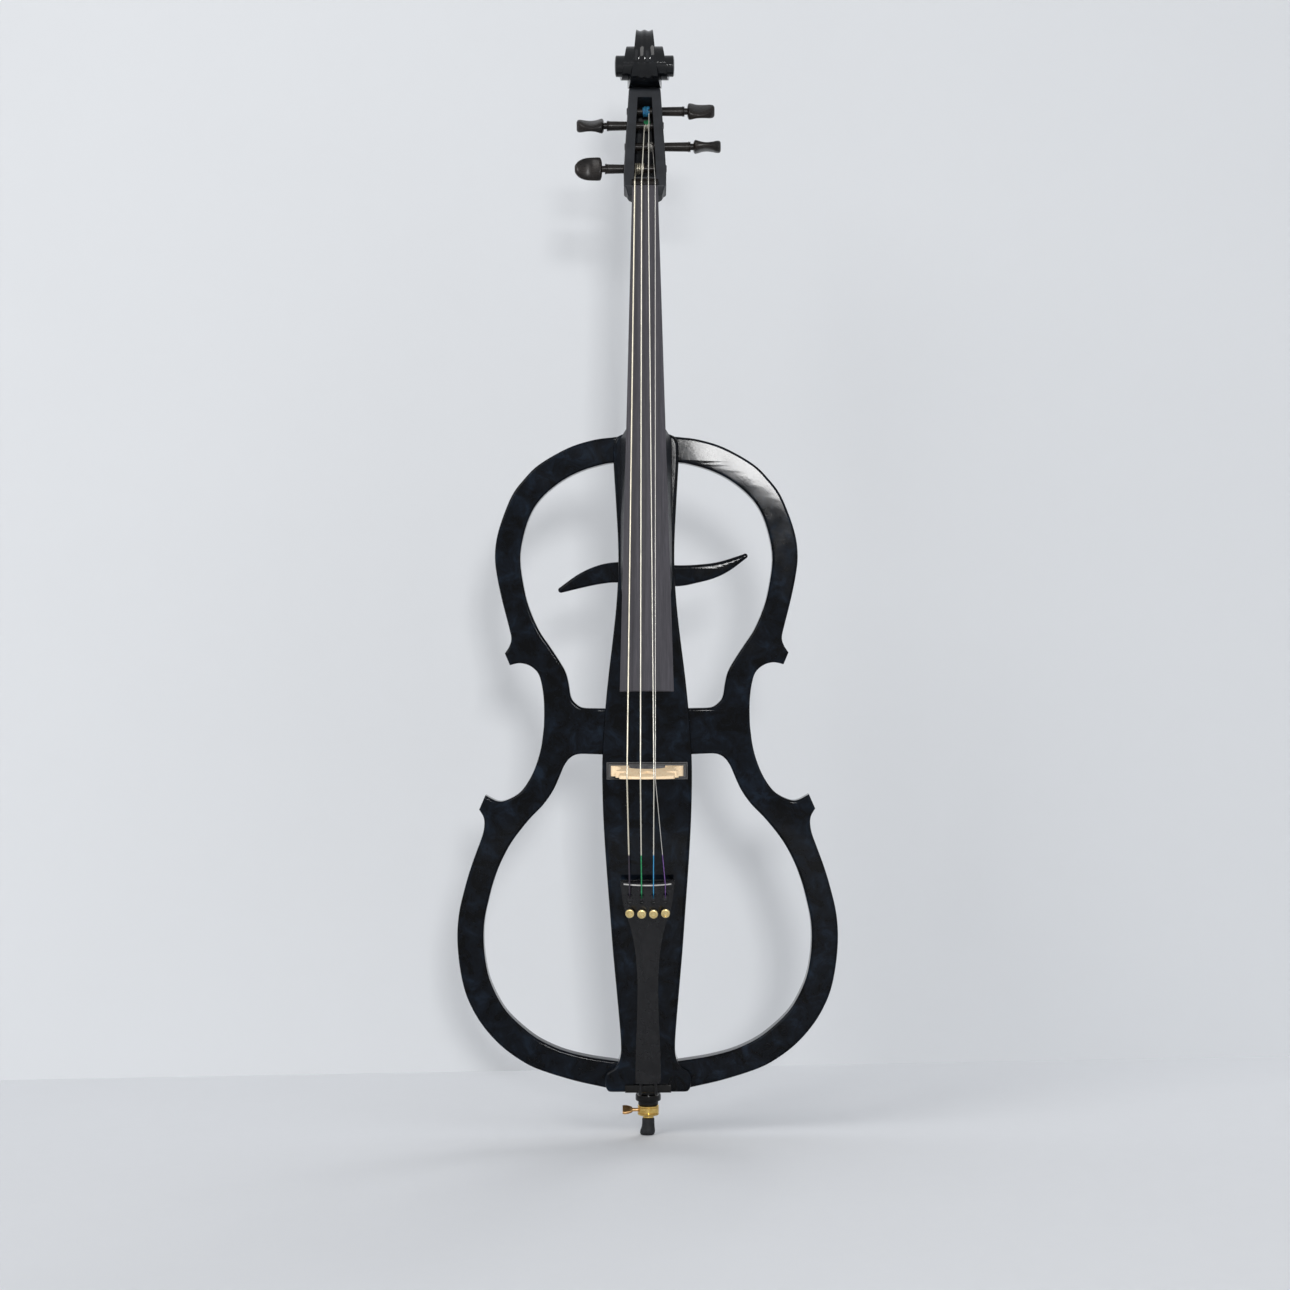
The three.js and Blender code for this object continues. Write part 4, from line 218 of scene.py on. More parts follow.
TAIL_SHARES = [
    (0, 0.96, 1, 1), (0.012, 1, 1, 1), (0.126, 0.88, 0.95, 1), (0.185, 0.73, 0.85, 0.97),
    (0.25, 0.59, 0.75, 0.93), (0.333, 0.472, 0.66, 0.88), (0.42, 0.41, 0.6, 0.85),
    (0.503, 0.384, 0.56, 0.82), (0.66, 0.4, 0.55, 0.82), (0.82, 0.45, 0.55, 0.82),
    (0.97, 0.476, 0.55, 0.8), (1, 0.45, 0.5, 0.75),
]
PEG_HEAD_SHARES = [
    (0, 0.62, 0.72), (0.05, 0.93, 1), (0.14, 1, 0.95), (0.32, 1, 0.68), (0.5, 0.98, 0.6),
    (0.68, 0.9, 0.72), (0.84, 0.72, 0.92), (0.95, 0.46, 0.95), (1, 0.26, 0.7),
]


# Smooth lines and sections

def spline_at(points, place):
    """A point on the smooth line through points, place from 0 to 1."""
    last = len(points) - 1
    whole = min(int(place * last), last - 1)
    t = place * last - whole
    before, start = points[max(whole - 1, 0)], points[whole]
    end, after = points[whole + 1], points[min(whole + 2, last)]
    made = []
    for p0, p1, p2, p3 in zip(before, start, end, after):
        out, home = (p2 - p0) / 2, (p3 - p1) / 2
        fall = p1 - p2
        made.append(((2 * fall + out + home) * t - 3 * fall - 2 * out - home) * t * t + out * t + p1)
    return made


def smooth(shares, steps):
    return [spline_at(shares, step / steps) for step in range(steps + 1)]


def between(rows, place):
    """The row of a table at a place down its first column, straight between its rows."""
    for low, high in zip(rows, rows[1:]):
        if place <= high[0] or high is rows[-1]:
            t = (place - low[0]) / (high[0] - low[0])
            return [a + (b - a) * t for a, b in zip(low, high)]


def mirrored(points):
    """The other half of an outline, from its end back to its start."""
    return [(-x, y) for x, y in reversed(points)]


def rounded_box(half, low, high, low_round, high_round, steps=8):
    """Points round a box about the middle line, with round corners."""
    ring = []
    for x, y, radius, start in ((half, low, low_round, -90), (half, high, high_round, 0),
                                (-half, high, high_round, 90), (-half, low, low_round, 180)):
        centre = (x - copysign(radius, x), y + radius if y == low else y - radius)
        for step in range(steps + 1):
            angle = radians(start + 90 * step / steps)
            ring.append((centre[0] + radius * cos(angle), centre[1] + radius * sin(angle)))
    return ring


def level_ring(height, *box):
    return [(x, y, height) for x, y in rounded_box(*box)]


def sag(radius, x):
    """How far a crown of this radius has dropped at x."""
    return radius - sqrt(radius ** 2 - x ** 2)


def spot(x=0, y=0, z=0, tilt=0, turn=0):
    return Matrix.Translation((x, y, z)) @ Matrix.Rotation(tilt, 4, "X") @ Matrix.Rotation(turn, 4, "Z")


ALONG_X = Matrix.Rotation(pi / 2, 4, "Y")
ALONG_Y = Matrix.Rotation(-pi / 2, 4, "X")
BOARD = spot(y=BOARD_FRONT, z=BOARD_TOP, tilt=-BOARD_ANGLE)
HEAD = spot(y=BOARD_FRONT + HEAD_DROP, z=NUT_PLACE + HEAD_RISE, tilt=-HEAD_TILT)
TAIL = spot(y=TAIL_FRONT, z=TAIL_PLACE, tilt=TAIL_TILT)


def facing(x, z, y=0, base=Matrix()):
    """A place whose own Z axis runs from front to back."""
    return base @ spot(x, y, z) @ ALONG_Y


def head_point(height, depth):
    return HEAD @ Vector((0, depth, height))


# Meshes

def new_object(name, mesh):
    made = bpy.data.objects.new(name, mesh)
    bpy.context.scene.collection.objects.link(made)
    return made


def cleaned(mesh, merge=1e-7):
    work = bmesh.new()
    work.from_mesh(mesh)
    bmesh.ops.remove_doubles(work, verts=work.verts, dist=merge)
    bmesh.ops.recalc_face_normals(work, faces=work.faces)
    work.to_mesh(mesh)
    work.free()
    return mesh


def solid(name, vertices, faces, place=Matrix()):
    """A mesh from millimetre points, put in place and turned to metres."""
    mesh = bpy.data.meshes.new(name)
    mesh.from_pydata([(place @ Vector(v)) * MM for v in vertices], [], faces)
    return new_object(name, cleaned(mesh))


def skin(name, rings, place=Matrix()):
    """A closed body over rings that all have the same number of points."""
    count = len(rings[0])
    vertices = [point for ring in rings for point in ring]
    faces = [tuple(range(count))[::-1], tuple(range(len(vertices) - count, len(vertices)))]
    for row in range(len(rings) - 1):
        low = row * count
        for i in range(count):
            j = (i + 1) % count
            faces.append((low + i, low + j, low + count + j, low + count + i))
    return solid(name, vertices, faces, place)


def block(name, half, front, back, low, high, x=0, place=Matrix()):
    """A box from its half width about x, its depths and its heights."""
    rings = [[(x - half, front, z), (x + half, front, z), (x + half, back, z), (x - half, back, z)]
             for z in (low, high)]
    return skin(name, rings, place)


def across(name, outline, half):
    """A body that keeps one outline in Y and Z over its whole width."""
    return skin(name, [[(x, y, z) for y, z in outline] for x in (half, -half)])


def turned(name, profile, place=Matrix(), sides=48, flutes=(0, 0, 0, 0)):
    """A body turned about Z from (radius, height) pairs that run from axis to axis or back to their start.
    Flutes are a count, a depth and the two heights that they run between."""
    count, depth, fluted_low, fluted_high = flutes
    vertices, faces, rows = [], [], []
    for radius, height in profile:
        if radius == 0:
            rows.append([len(vertices)] * sides)
            vertices.append((0, 0, height))
            continue
        rows.append(list(range(len(vertices), len(vertices) + sides)))
        for step in range(sides):
            angle = 2 * pi * step / sides
            groove = depth * (0.5 - 0.5 * cos(count * angle)) if fluted_low < height < fluted_high else 0
            wide = radius - groove
            vertices.append((wide * cos(angle), wide * sin(angle), height))
    for low, high in zip(rows, rows[1:]):
        for i in range(sides):
            j = (i + 1) % sides
            corner = [low[i], low[j], high[j], high[i]]
            faces.append([v for k, v in enumerate(corner) if v not in corner[:k]])
    return solid(name, vertices, [face for face in faces if len(face) > 2], place)


def cylinder(name, radius, low, high, place=Matrix(), sides=24):
    return turned(name, [(0, low), (radius, low), (radius, high), (0, high)], place, sides)


def slab(name, outline, front, back, edge=0, holes=(), rounding=3, flat="XZ"):
    """Outlines pushed along Y, or along Z for a flat XY one, with round edges."""
    curve = bpy.data.curves.new(name, "CURVE")
    curve.dimensions, curve.fill_mode = "2D", "BOTH"
    for ring in [outline, *holes]:
        line = curve.splines.new("POLY")
        line.points.add(len(ring) - 1)
        line.use_cyclic_u = True
        for point, (x, z) in zip(line.points, ring):
            point.co = (x * MM, z * MM, 0, 1)
    curve.extrude = ((back - front) / 2 - edge) * MM
    curve.bevel_depth, curve.bevel_resolution, curve.offset = edge * MM, rounding, -edge * MM
    maker = new_object(name + "_curve", curve)
    mesh = bpy.data.meshes.new_from_object(maker.evaluated_get(bpy.context.evaluated_depsgraph_get()))
    bpy.data.objects.remove(maker)
    middle = (front + back) / 2 * MM
    if flat == "XZ":
        mesh.transform(Matrix.Translation((0, middle, 0)) @ Matrix.Rotation(pi / 2, 4, "X"))
    else:
        mesh.transform(Matrix.Translation((0, 0, middle)))
    return new_object(name, cleaned(mesh, 2e-6))


def tube(name, points, radius, sides=12):
    """A round tube through points, without twist, closed at its ends."""
    spots = [Vector(p) for p in points]
    first = Vector((1, 0, 0))
    rings = []
    for i, here in enumerate(spots):
        along = (spots[min(i + 1, len(spots) - 1)] - spots[max(i - 1, 0)]).normalized()
        first = (first - along * first.dot(along)).normalized()
        second = along.cross(first)
        rings.append([here + radius * (cos(2 * pi * k / sides) * first
                      + sin(2 * pi * k / sides) * second) for k in range(sides)])
    return skin(name, rings)


def moved(thing, place):
    """Moves an object's mesh by a millimetre placement."""
    shift = place.copy()
    shift.translation = place.translation * MM
    thing.data.transform(shift)
    return thing


def baked(thing):
    """Applies an object's modifiers to its mesh."""
    graph = bpy.context.evaluated_depsgraph_get()
    mesh = bpy.data.meshes.new_from_object(thing.evaluated_get(graph))
    thing.modifiers.clear()
    thing.data = mesh
    return thing


def combined(thing, tools, operation="DIFFERENCE"):
    for tool in tools:
        work = thing.modifiers.new("cut", "BOOLEAN")
        work.operation, work.solver, work.object = operation, "EXACT", tool
        baked(thing)
        bpy.data.objects.remove(tool)
    return thing


def softened(thing, width, segments=2, angle=40):
    """Rounds an object's sharp edges, so that they catch the light."""
    work = thing.modifiers.new("edges", "BEVEL")
    work.width, work.segments, work.limit_method = width * MM, segments, "ANGLE"
    work.angle_limit = radians(angle)
    return baked(thing)


def dressed(thing, finish, body="frame_body", stands_for=None):
    """Gives a piece its finish, shading and body, and hides the CAD node that it stands for,
    which is the one of its own name if no other is given."""
    thing.data.materials.clear()
    thing.data.materials.append(MATERIALS[finish])
    thing.data.polygons.foreach_set("use_smooth", [True] * len(thing.data.polygons))
    thing.data.set_sharp_from_angle(angle=SHARP_ANGLE)
    level = thing.modifiers.new("level", "WEIGHTED_NORMAL")
    level.keep_sharp = True
    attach(thing, body)
    own = stands_for or thing.name.removesuffix("_body")
    if own in frame["nodes"]:
        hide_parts(own)


# Materials, with heights and depths in metres. A grain is the scale, strength and depth of a fine relief.

FINE_GRAIN = (900, 0.15, 0.00004)
SMOOTH = {"gloss": 0.28, "grain": (1500, 0.15, 0.00004)}
SILK_FADE, TAIL_SILK = 0.002, 0.334


def new_material(name):
    made = bpy.data.materials.new(name)
    made.use_nodes = True
    return made, made.node_tree, made.node_tree.nodes["Principled BSDF"]


def feed(tree, target, inputs):
    """Links sockets to a node's inputs and sets constants on the node's own sockets."""
    for key, value in inputs.items():
        if isinstance(value, bpy.types.NodeSocket):
            tree.links.new(value, target.inputs[key])
        else:
            target.inputs[key].default_value = value


def node(tree, kind, inputs=None, **settings):
    made = tree.nodes.new(kind)
    for key, value in settings.items():
        setattr(made, key, value)
    feed(tree, made, inputs or {})
    return made


def object_place(tree, stretch=(1, 1, 1)):
    where = node(tree, "ShaderNodeTexCoord").outputs["Object"]
    return node(tree, "ShaderNodeMapping", {"Vector": where, "Scale": stretch}).outputs["Vector"]


def noise(tree, place, scale, detail=5, rough=0.55, distort=0):
    inputs = {"Vector": place, "Scale": scale, "Detail": detail, "Roughness": rough, "Distortion": distort}
    return node(tree, "ShaderNodeTexNoise", inputs).outputs["Fac"]


def ramp(tree, value, *stops):
    made = node(tree, "ShaderNodeValToRGB", {"Fac": value})
    elements = made.color_ramp.elements
    while len(elements) < len(stops):
        elements.new(0.5)
    for element, (position, color) in zip(elements, stops):
        element.position, element.color = position, (*color, 1)
    return made.outputs["Color"]


def maths(tree, operation, first, second):
    return node(tree, "ShaderNodeMath", {0: first, 1: second}, operation=operation).outputs[0]


def mixed(tree, share, first, second):
    return node(tree, "ShaderNodeMix", {"Factor": share, "A": first, "B": second}).outputs["Result"]


def mixed_colors(tree, share, first, second):
    """Two colours mixed by a share that varies over the surface."""
    made = node(tree, "ShaderNodeMix", data_type="RGBA")
    sockets = {s.identifier: s for s in made.inputs}
    for source, target in ((share, "Factor_Float"), (first, "A_Color"), (second, "B_Color")):
        tree.links.new(source, sockets[target])
    return next(s for s in made.outputs if s.identifier == "Result_Color")


def spread(tree, value, low, high, start=0.3, stop=0.7):
    inputs = {"Value": value, "From Min": start, "From Max": stop, "To Min": low, "To Max": high}
    return node(tree, "ShaderNodeMapRange", inputs).outputs["Result"]


def bump(tree, height, strength, distance):
    inputs = {"Height": height, "Strength": strength, "Distance": distance}
    return node(tree, "ShaderNodeBump", inputs).outputs["Normal"]


def surface(name, dark, light, scale, rough, gloss=0.5, metal=0, stretch=(1, 1, 1), grain=FINE_GRAIN):
    """A material whose colour, roughness and fine relief vary over it."""
    made, tree, shader = new_material(name)
    place = object_place(tree, stretch)
    fine, strength, depth = grain
    feed(tree, shader, {
        "Base Color": ramp(tree, noise(tree, place, scale), (0.32, dark), (0.68, light)),
        "Roughness": spread(tree, noise(tree, place, scale * 7), *rough),
        "Normal": bump(tree, noise(tree, place, fine, 3), strength, depth),
        "Metallic": metal, "Specular IOR Level": gloss})
    return made


def lacquer_material():
    """Deep black gloss with dust specks, a faint orange peel and a dark blue cloud that is a painted room
    reflection.
    """
    made, tree, shader = new_material("lacquer")
    place = object_place(tree)
    painted_reflection_cloud, haze = noise(tree, place, 46, 9, 0.68, 0.6), noise(tree, place, 35, 6, 0.6)
    dust, peel = noise(tree, place, 900, 2, 0.5), noise(tree, place, 260, 3, 0.5)
    specks = spread(tree, dust, 0, 0.16, 0.66, 0.74)
    feed(tree, shader, {
        # The dark blue cloud in the base colour is a painted reflection of the room.
        "Base Color": ramp(tree, painted_reflection_cloud, (0.4, (0.0012, 0.0015, 0.002)), (0.54, (0.0035, 0.0052, 0.0085)),
                           (0.7, (0.0085, 0.0145, 0.0245))),
        "Roughness": spread(tree, maths(tree, "ADD", haze, specks), 0.04, 0.1),
        "Normal": bump(tree, peel, 0.1, 0.0001),
        "Specular IOR Level": 0.07, "Coat Weight": 0.045, "Coat Roughness": 0.03})
    return made


def wood(name, colors, grain, flecks_and_shadow_streaks, share, rough, relief, gloss):
    """Wood with grain and a second set of long marks, real flecks on maple and painted string shadows on the
    board. Each set is a stretch and the noise along it.
    """
    made, tree, shader = new_material(name)
    lines, marks = [noise(tree, object_place(tree, stretch), *look) for stretch, look in (grain, flecks_and_shadow_streaks)]
    feed(tree, shader, {
        "Base Color": ramp(tree, mixed(tree, share, lines, marks), *colors),
        "Roughness": spread(tree, lines, *rough),
        "Normal": bump(tree, lines, *relief),
        "Specular IOR Level": gloss})
    return made


def string_material(name, look, silk_top, silk_bottom):
    """Flat-wound metal with fine turns across it, and coloured silk above one height and below another."""
    made, tree, shader = new_material(name)
    where = node(tree, "ShaderNodeTexCoord").outputs["Object"]
    height = node(tree, "ShaderNodeSeparateXYZ", {"Vector": where}).outputs["Z"]
    turns = node(tree, "ShaderNodeTexWave", {"Vector": where, "Scale": 900, "Distortion": 0.4},
                 bands_direction="Z").outputs["Fac"]
    metal = look["metal"]
    tone = ramp(tree, noise(tree, where, 60), (0.35, [c * 0.85 for c in metal]), (0.65, metal))
    above = spread(tree, height, 0, 1, silk_top, silk_top + SILK_FADE)
    below = spread(tree, height, 1, 0, silk_bottom - SILK_FADE, silk_bottom)
    covered = maths(tree, "MAXIMUM", above, below)
    thread = ramp(tree, mixed(tree, 0.3, noise(tree, where, 420), turns),
                  (0.36, look["other"]), (0.52, look["silk"]))
    feed(tree, shader, {
        "Base Color": mixed_colors(tree, covered, tone, thread),
        "Roughness": spread(tree, covered, 0.32, 0.75, 0, 1),
        "Metallic": spread(tree, covered, 0.75, 0, 0, 1),
        "Normal": bump(tree, turns, 0.3, 0.00003)})
    return made


def brass(name, dark, light, rough):
    """Turned brass: fine lines round it, patchy tarnish."""
    made, tree, shader = new_material(name)
    tarnish = noise(tree, object_place(tree), 160, 6, 0.65)
    lines = noise(tree, object_place(tree, (0.06, 0.06, 1)), 2600, 2, 0.5)
    feed(tree, shader, {
        "Base Color": ramp(tree, tarnish, (0.3, dark), (0.6, light)),
        "Roughness": spread(tree, tarnish, rough[1], rough[0]),
        "Normal": bump(tree, lines, 0.12, 0.00003), "Metallic": 1})
    return made


def stage_material(name, color, see_through):
    """Plain pale surface that hides nothing from behind when it is see-through."""
    made, tree, shader = new_material(name)
    place = object_place(tree)
    feed(tree, shader, {
        "Base Color": ramp(tree, noise(tree, place, 1.6, 3), (0.3, [c * 0.985 for c in color]), (0.7, color)),
        "Roughness": spread(tree, noise(tree, place, 40), 0.62, 0.72), "Specular IOR Level": 0.15})
    if see_through:
        back = node(tree, "ShaderNodeNewGeometry").outputs["Backfacing"]
        shadow = node(tree, "ShaderNodeLightPath").outputs["Is Shadow Ray"]
        mix = node(tree, "ShaderNodeMixShader", {
            0: maths(tree, "MAXIMUM", back, shadow), 1: shader.outputs[0],
            2: node(tree, "ShaderNodeBsdfTransparent").outputs[0]})
        tree.links.new(mix.outputs[0], tree.nodes["Material Output"].inputs["Surface"])
    return made


SURFACES = (
    ("ebony", (0.004, 0.0035, 0.0035), (0.018, 0.014, 0.012), 90, (0.22, 0.38),
     {"gloss": 0.22, "stretch": (0.3, 1, 1)}),
    ("composite", (0.005, 0.005, 0.006), (0.01, 0.01, 0.011), 60, (0.16, 0.26), SMOOTH),
    ("satin", (0.009, 0.01, 0.012), (0.017, 0.019, 0.023), 70, (0.34, 0.5), SMOOTH),
    ("gloss", (0.002, 0.0024, 0.003), (0.005, 0.006, 0.0075), 70, (0.03, 0.08), {**SMOOTH, "gloss": 0.3}),
    ("tray", (0.012, 0.012, 0.014), (0.022, 0.022, 0.025), 80, (0.3, 0.45), {}),
    ("cord", (0.003, 0.003, 0.0035), (0.009, 0.009, 0.01), 300, (0.3, 0.45), {"gloss": 0.25}),
    ("steel", (0.5, 0.51, 0.53), (0.66, 0.67, 0.69), 200, (0.2, 0.36), {"metal": 1}),
    # A steel darkened with painted shade, for parts inside the tuner slots and in the tray under the bridge.
    ("dark_steel", (0.03, 0.03, 0.032), (0.07, 0.07, 0.074), 200, (0.3, 0.45), {"metal": 0.8}),
    ("polished", (0.002, 0.002, 0.002), (0.006, 0.0055, 0.005), 90, (0.1, 0.18), {"gloss": 0.2}),
    # Pale grey on the black composite fret is a painted highlight along the tailpiece's top edge.
    ("fret", (0.38, 0.375, 0.37), (0.54, 0.53, 0.51), 200, (0.25, 0.38), {}),
    ("rubber", (0.009, 0.01, 0.011), (0.02, 0.021, 0.024), 120, (0.45, 0.65),
     {"gloss": 0.18, "grain": (1400, 0.35, 0.0001)}),
    ("plastic", (0.008, 0.008, 0.009), (0.014, 0.014, 0.015), 90, (0.4, 0.55),
     {"gloss": 0.15, "grain": (2200, 0.4, 0.00008)}),
    ("circuit", (0.01, 0.09, 0.045), (0.02, 0.15, 0.07), 240, (0.3, 0.5), {}),
    ("cell", (0.2, 0.21, 0.22), (0.3, 0.31, 0.33), 150, (0.3, 0.45), {"metal": 0.6}),
)
MATERIALS = {
    "lacquer": lacquer_material(),
    # The board's long dark and light streaks are painted string shadows, laid at random across it.
    "board": wood(
        "board", ((0.34, (0.036, 0.034, 0.039)), (0.5, (0.056, 0.053, 0.061)), (0.68, (0.09, 0.085, 0.098))),
        ((1, 1, 0.025), (420, 6, 0.65)), ((1, 0.2, 0.004), (230, 5, 0.7)), 0.6,
        (0.62, 0.8), (0.25, 0.00012), 0.3),
    "maple": wood(
        "maple", ((0.33, (0.92, 0.65, 0.4)), (0.5, (0.98, 0.76, 0.5)), (0.68, (1, 0.83, 0.6))),
        ((1, 0.12, 1), (520, 5, 0.6)), ((0.25, 1, 1), (900, 2, 0.5)), 0.35, (0.66, 0.82), (0.2, 0.00006), 0),
    "brass": brass("brass", (0.42, 0.26, 0.07), (0.74, 0.52, 0.17), (0.16, 0.32)),
    "pale_brass": brass("pale_brass", (0.5, 0.38, 0.16), (0.74, 0.6, 0.3), (0.2, 0.36)),
    "worn_brass": brass("worn_brass", (0.4, 0.2, 0.07), (0.7, 0.44, 0.2), (0.36, 0.5)),
    **{name: surface(name, *look, **more) for name, *look, more in SURFACES},
}
STRING_LOOKS = {
    "c": {"metal": (0.76, 0.7, 0.55), "silk": (0.03, 0.02, 0.035), "other": (0.012, 0.01, 0.016)},
    "g": {"metal": (0.8, 0.76, 0.64), "silk": (0.01, 0.3, 0.1), "other": (0.02, 0.1, 0.05)},
    "d": {"metal": (0.78, 0.75, 0.66), "silk": (0.05, 0.28, 0.64), "other": (0.01, 0.2, 0.2)},
    "a": {"metal": (0.62, 0.6, 0.56), "silk": (0.2, 0.09, 0.34), "other": (0.08, 0.04, 0.15)},
}
# How far below its peg's axis the upper silk of each string and of each winding ends, in millimetres
SILK_DROPS = {"c": (-20, -20), "g": (-3, 1), "d": (5, 20), "a": (-20, -20)}


# Body

def body_shares(shares, half, steps):
    return [(x * half, BODY_BASE + z * BODY_LENGTH) for x, z in smooth(shares, steps)]


SPINE_LINE = body_shares(SPINE_SHARES, SPINE_HALF, 150)


def spine_half_at(height):
    return between([(z, x) for x, z in SPINE_LINE], height)[1]


def bay_outline(margin, corner):
    rise = BAY_LENGTH + margin
    return rounded_box(BAY_HALF + margin, BAY_PLACE - rise, BAY_PLACE + rise, corner, corner)


def spine():
    outline = SPINE_LINE + mirrored(SPINE_LINE)
    made = slab("spine_body", outline, SPINE_FRONT, SPINE_BACK, SPINE_EDGE, rounding=4)
    before, behind, under = SPINE_FRONT - OVERRUN, SPINE_BACK + OVERRUN, BODY_BASE - OVERRUN
    tray, door = TRAY_HEIGHT / 2 + CLEAR, DOOR_RISE + CLEAR
    deep, rod = PLUG_ROUND + CLEAR, ROD_RADIUS + CLEAR
    seat, top = PLUG_SHAFT + PLUG_LENGTH + CLEAR, ROD_TOP + CLEAR
    return combined(made, [
        block("cut_tray", TRAY_HALF + CLEAR, before, SPINE_FRONT + POCKET_DEPTH,
              TRAY_PLACE - tray, TRAY_PLACE + tray),
        block("cut_saddle", SADDLE_HALF + CLEAR, before, SPINE_FRONT + SADDLE_DEPTH - SADDLE_PROUD + CLEAR,
              under, BODY_BASE + SADDLE_HEIGHT + CLEAR),
        slab("cut_plate", bay_outline(PLATE_MARGIN + CLEAR, PLATE_CORNER + CLEAR),
             SPINE_BACK - PLATE_THICK - CLEAR, behind),
        slab("cut_bay", bay_outline(0, PLATE_MARGIN), SPINE_BACK - BAY_DEPTH, behind),
        block("cut_door", DOOR_HALF + CLEAR, SPINE_BACK - DOOR_THICK - CLEAR, behind,
              DOOR_PLACE - door, DOOR_PLACE + door),
        block("cut_battery", BATTERY_HALF, SPINE_BACK - BATTERY_DEEP, behind,
              DOOR_PLACE - BATTERY_RISE, DOOR_PLACE + BATTERY_RISE),
        turned("cut_plug", [(0, under), (deep, under), (deep, seat), (rod, seat), (rod, top), (0, top)]),
    ])


def wing(word):
    """One loop through the upper, waist and lower bouts and back round both windows."""
    waist = []
    for way, z in smooth(WAIST_SHARES, 60):
        corner = UPPER_HALF * UPPER_CORNER if z > WAIST_MIDDLE else LOWER_HALF * LOWER_CORNER
        waist.append((WAIST_HALF + way * (corner - WAIST_HALF), BODY_BASE + z * BODY_LENGTH))

    def inside(last, before):
        x = spine_half_at(last[1]) - WING_INSERT
        return x, last[1] + (last[1] - before[1]) * (x - last[0]) / (last[0] - before[0])

    outer = [*body_shares(UPPER_OUTER_SHARES, UPPER_HALF, 70), *waist,
             *body_shares(LOWER_OUTER_SHARES, LOWER_HALF, 80)]
    lower_in = body_shares(LOWER_INNER_SHARES, LOWER_HALF, 84)
    upper_in = body_shares(UPPER_INNER_SHARES, UPPER_HALF, 72)
    outline = []
    for line in (outer, lower_in, upper_in):
        outline += [inside(*line[:2]), *line, inside(*line[:-3:-1])]
    outline = [(SIDES[word] * x, z) for x, z in outline]
    return slab(f"wing_{word}_body", outline, WING_FRONT, WING_BACK, WING_EDGE, rounding=4)


def round_end(start, stop, steps=10):
    """Points of a half circle that bulges to the left of the way from start to stop."""
    middle, half = (Vector(start) + Vector(stop)) / 2, (Vector(start) - Vector(stop)) / 2
    out = Vector((half.y, -half.x))
    angles = [pi * step / steps for step in range(1, steps)]
    return [tuple(middle + half * cos(angle) + out * sin(angle)) for angle in angles]


def chest_rest():
    upper, lower = [[(x * REST_HALF, REST_PLACE + z * REST_RISE) for x, z in smooth(shares, 60)]
                    for shares in (REST_UPPER_SHARES, REST_LOWER_SHARES)]
    outline = [*upper, *round_end(upper[-1], lower[0]), *lower, *round_end(lower[-1], upper[0])]
    front = SPINE_BACK + CLEAR
    back = front + REST_THICK
    made = slab("chest_rest_body", outline, front, back, REST_EDGE, rounding=4)
    wells = [cylinder("cut_well", REST_WELL_RADIUS, -REST_WELL_DEPTH, OVERRUN,
                      facing(side * REST_SCREW_SIDE, REST_PLACE, back), 48) for side in SIDES.values()]
    return combined(made, wells)


def rest_screw(word):
    x = SIDES[word] * REST_SCREW_SIDE
    made = turned(f"rest_screw_{word}_body", REST_SCREW, facing(x, REST_PLACE, REST_SCREW_TIP), 32)
    top = REST_SCREW_TIP + REST_SCREW[-1][1]
    slot = block("cut_slot", REST_SLOT_HALF, top - REST_SLOT_DEPTH, top + REST_SLOT_REACH,
                 -REST_SLOT_RISE, REST_SLOT_RISE, place=spot(x, 0, REST_PLACE))
    return combined(made, [slot])


# Fingerboard and neck

def board_half(place):
    return BOARD_HALVES[0] + (BOARD_HALVES[1] - BOARD_HALVES[0]) * place / BOARD_LENGTH


def board_under(place):
    return sag(BOARD_RADIUS, board_half(place)) + BOARD_EDGE


def fingerboard():
    rings = []
    for step in range(BOARD_STEPS + 1):
        place = BOARD_LENGTH * (1 - step / BOARD_STEPS)
        half, under = board_half(place), board_under(place)
        arch = [(half * share, sag(BOARD_RADIUS, half * share), -place) for share in ACROSS]
        rings.append([*arch, (half, under, -place), (-half, under, -place)])
    radius = BOARD_RADIUS - BOARD_EDGE
    hollow = cylinder("cut_hollow", radius, -BOARD_LENGTH - OVERRUN, HOLLOW_LENGTH - BOARD_LENGTH,
                      BOARD @ spot(y=board_under(BOARD_LENGTH) - BOARD_HOLLOW + radius), 180)
    return softened(combined(skin("fingerboard_body", rings, BOARD), [hollow]), BOARD_SOFT)


def board_back_at(height):
    below = BOARD_TOP - height
    under = board_under(max(below / cos(BOARD_ANGLE), 0))
    return BOARD_FRONT + under / cos(BOARD_ANGLE) - below * tan(BOARD_ANGLE)


def level_half(height):
    return board_half((BOARD_TOP - height) / cos(BOARD_ANGLE)) - CLEAR


def neck_shaft():
    low = (BOARD_TOP - BODY_TOP - OVERRUN) / cos(BOARD_ANGLE) / BOARD_LENGTH
    rings = []
    for part in [1 - NECK_REACH * step / NECK_STEPS for step in range(NECK_STEPS + 1)]:
        share = part * low
        place = share * BOARD_LENGTH
        half, front = board_half(place), board_under(place) - CLEAR
        back = NECK_DEPTH + NECK_GROWTH * share
        shoulder = (back - front) * NECK_SHOULDER
        ring = [(-half, front, -place), (half, front, -place)]
        for angle in [pi * step / 32 for step in range(33)]:
            depth = front + shoulder + (back - front - shoulder) * sin(angle)
            ring.append((half * cos(angle), depth, -place))
        rings.append(ring)
    return skin("neck_body", rings, BOARD)


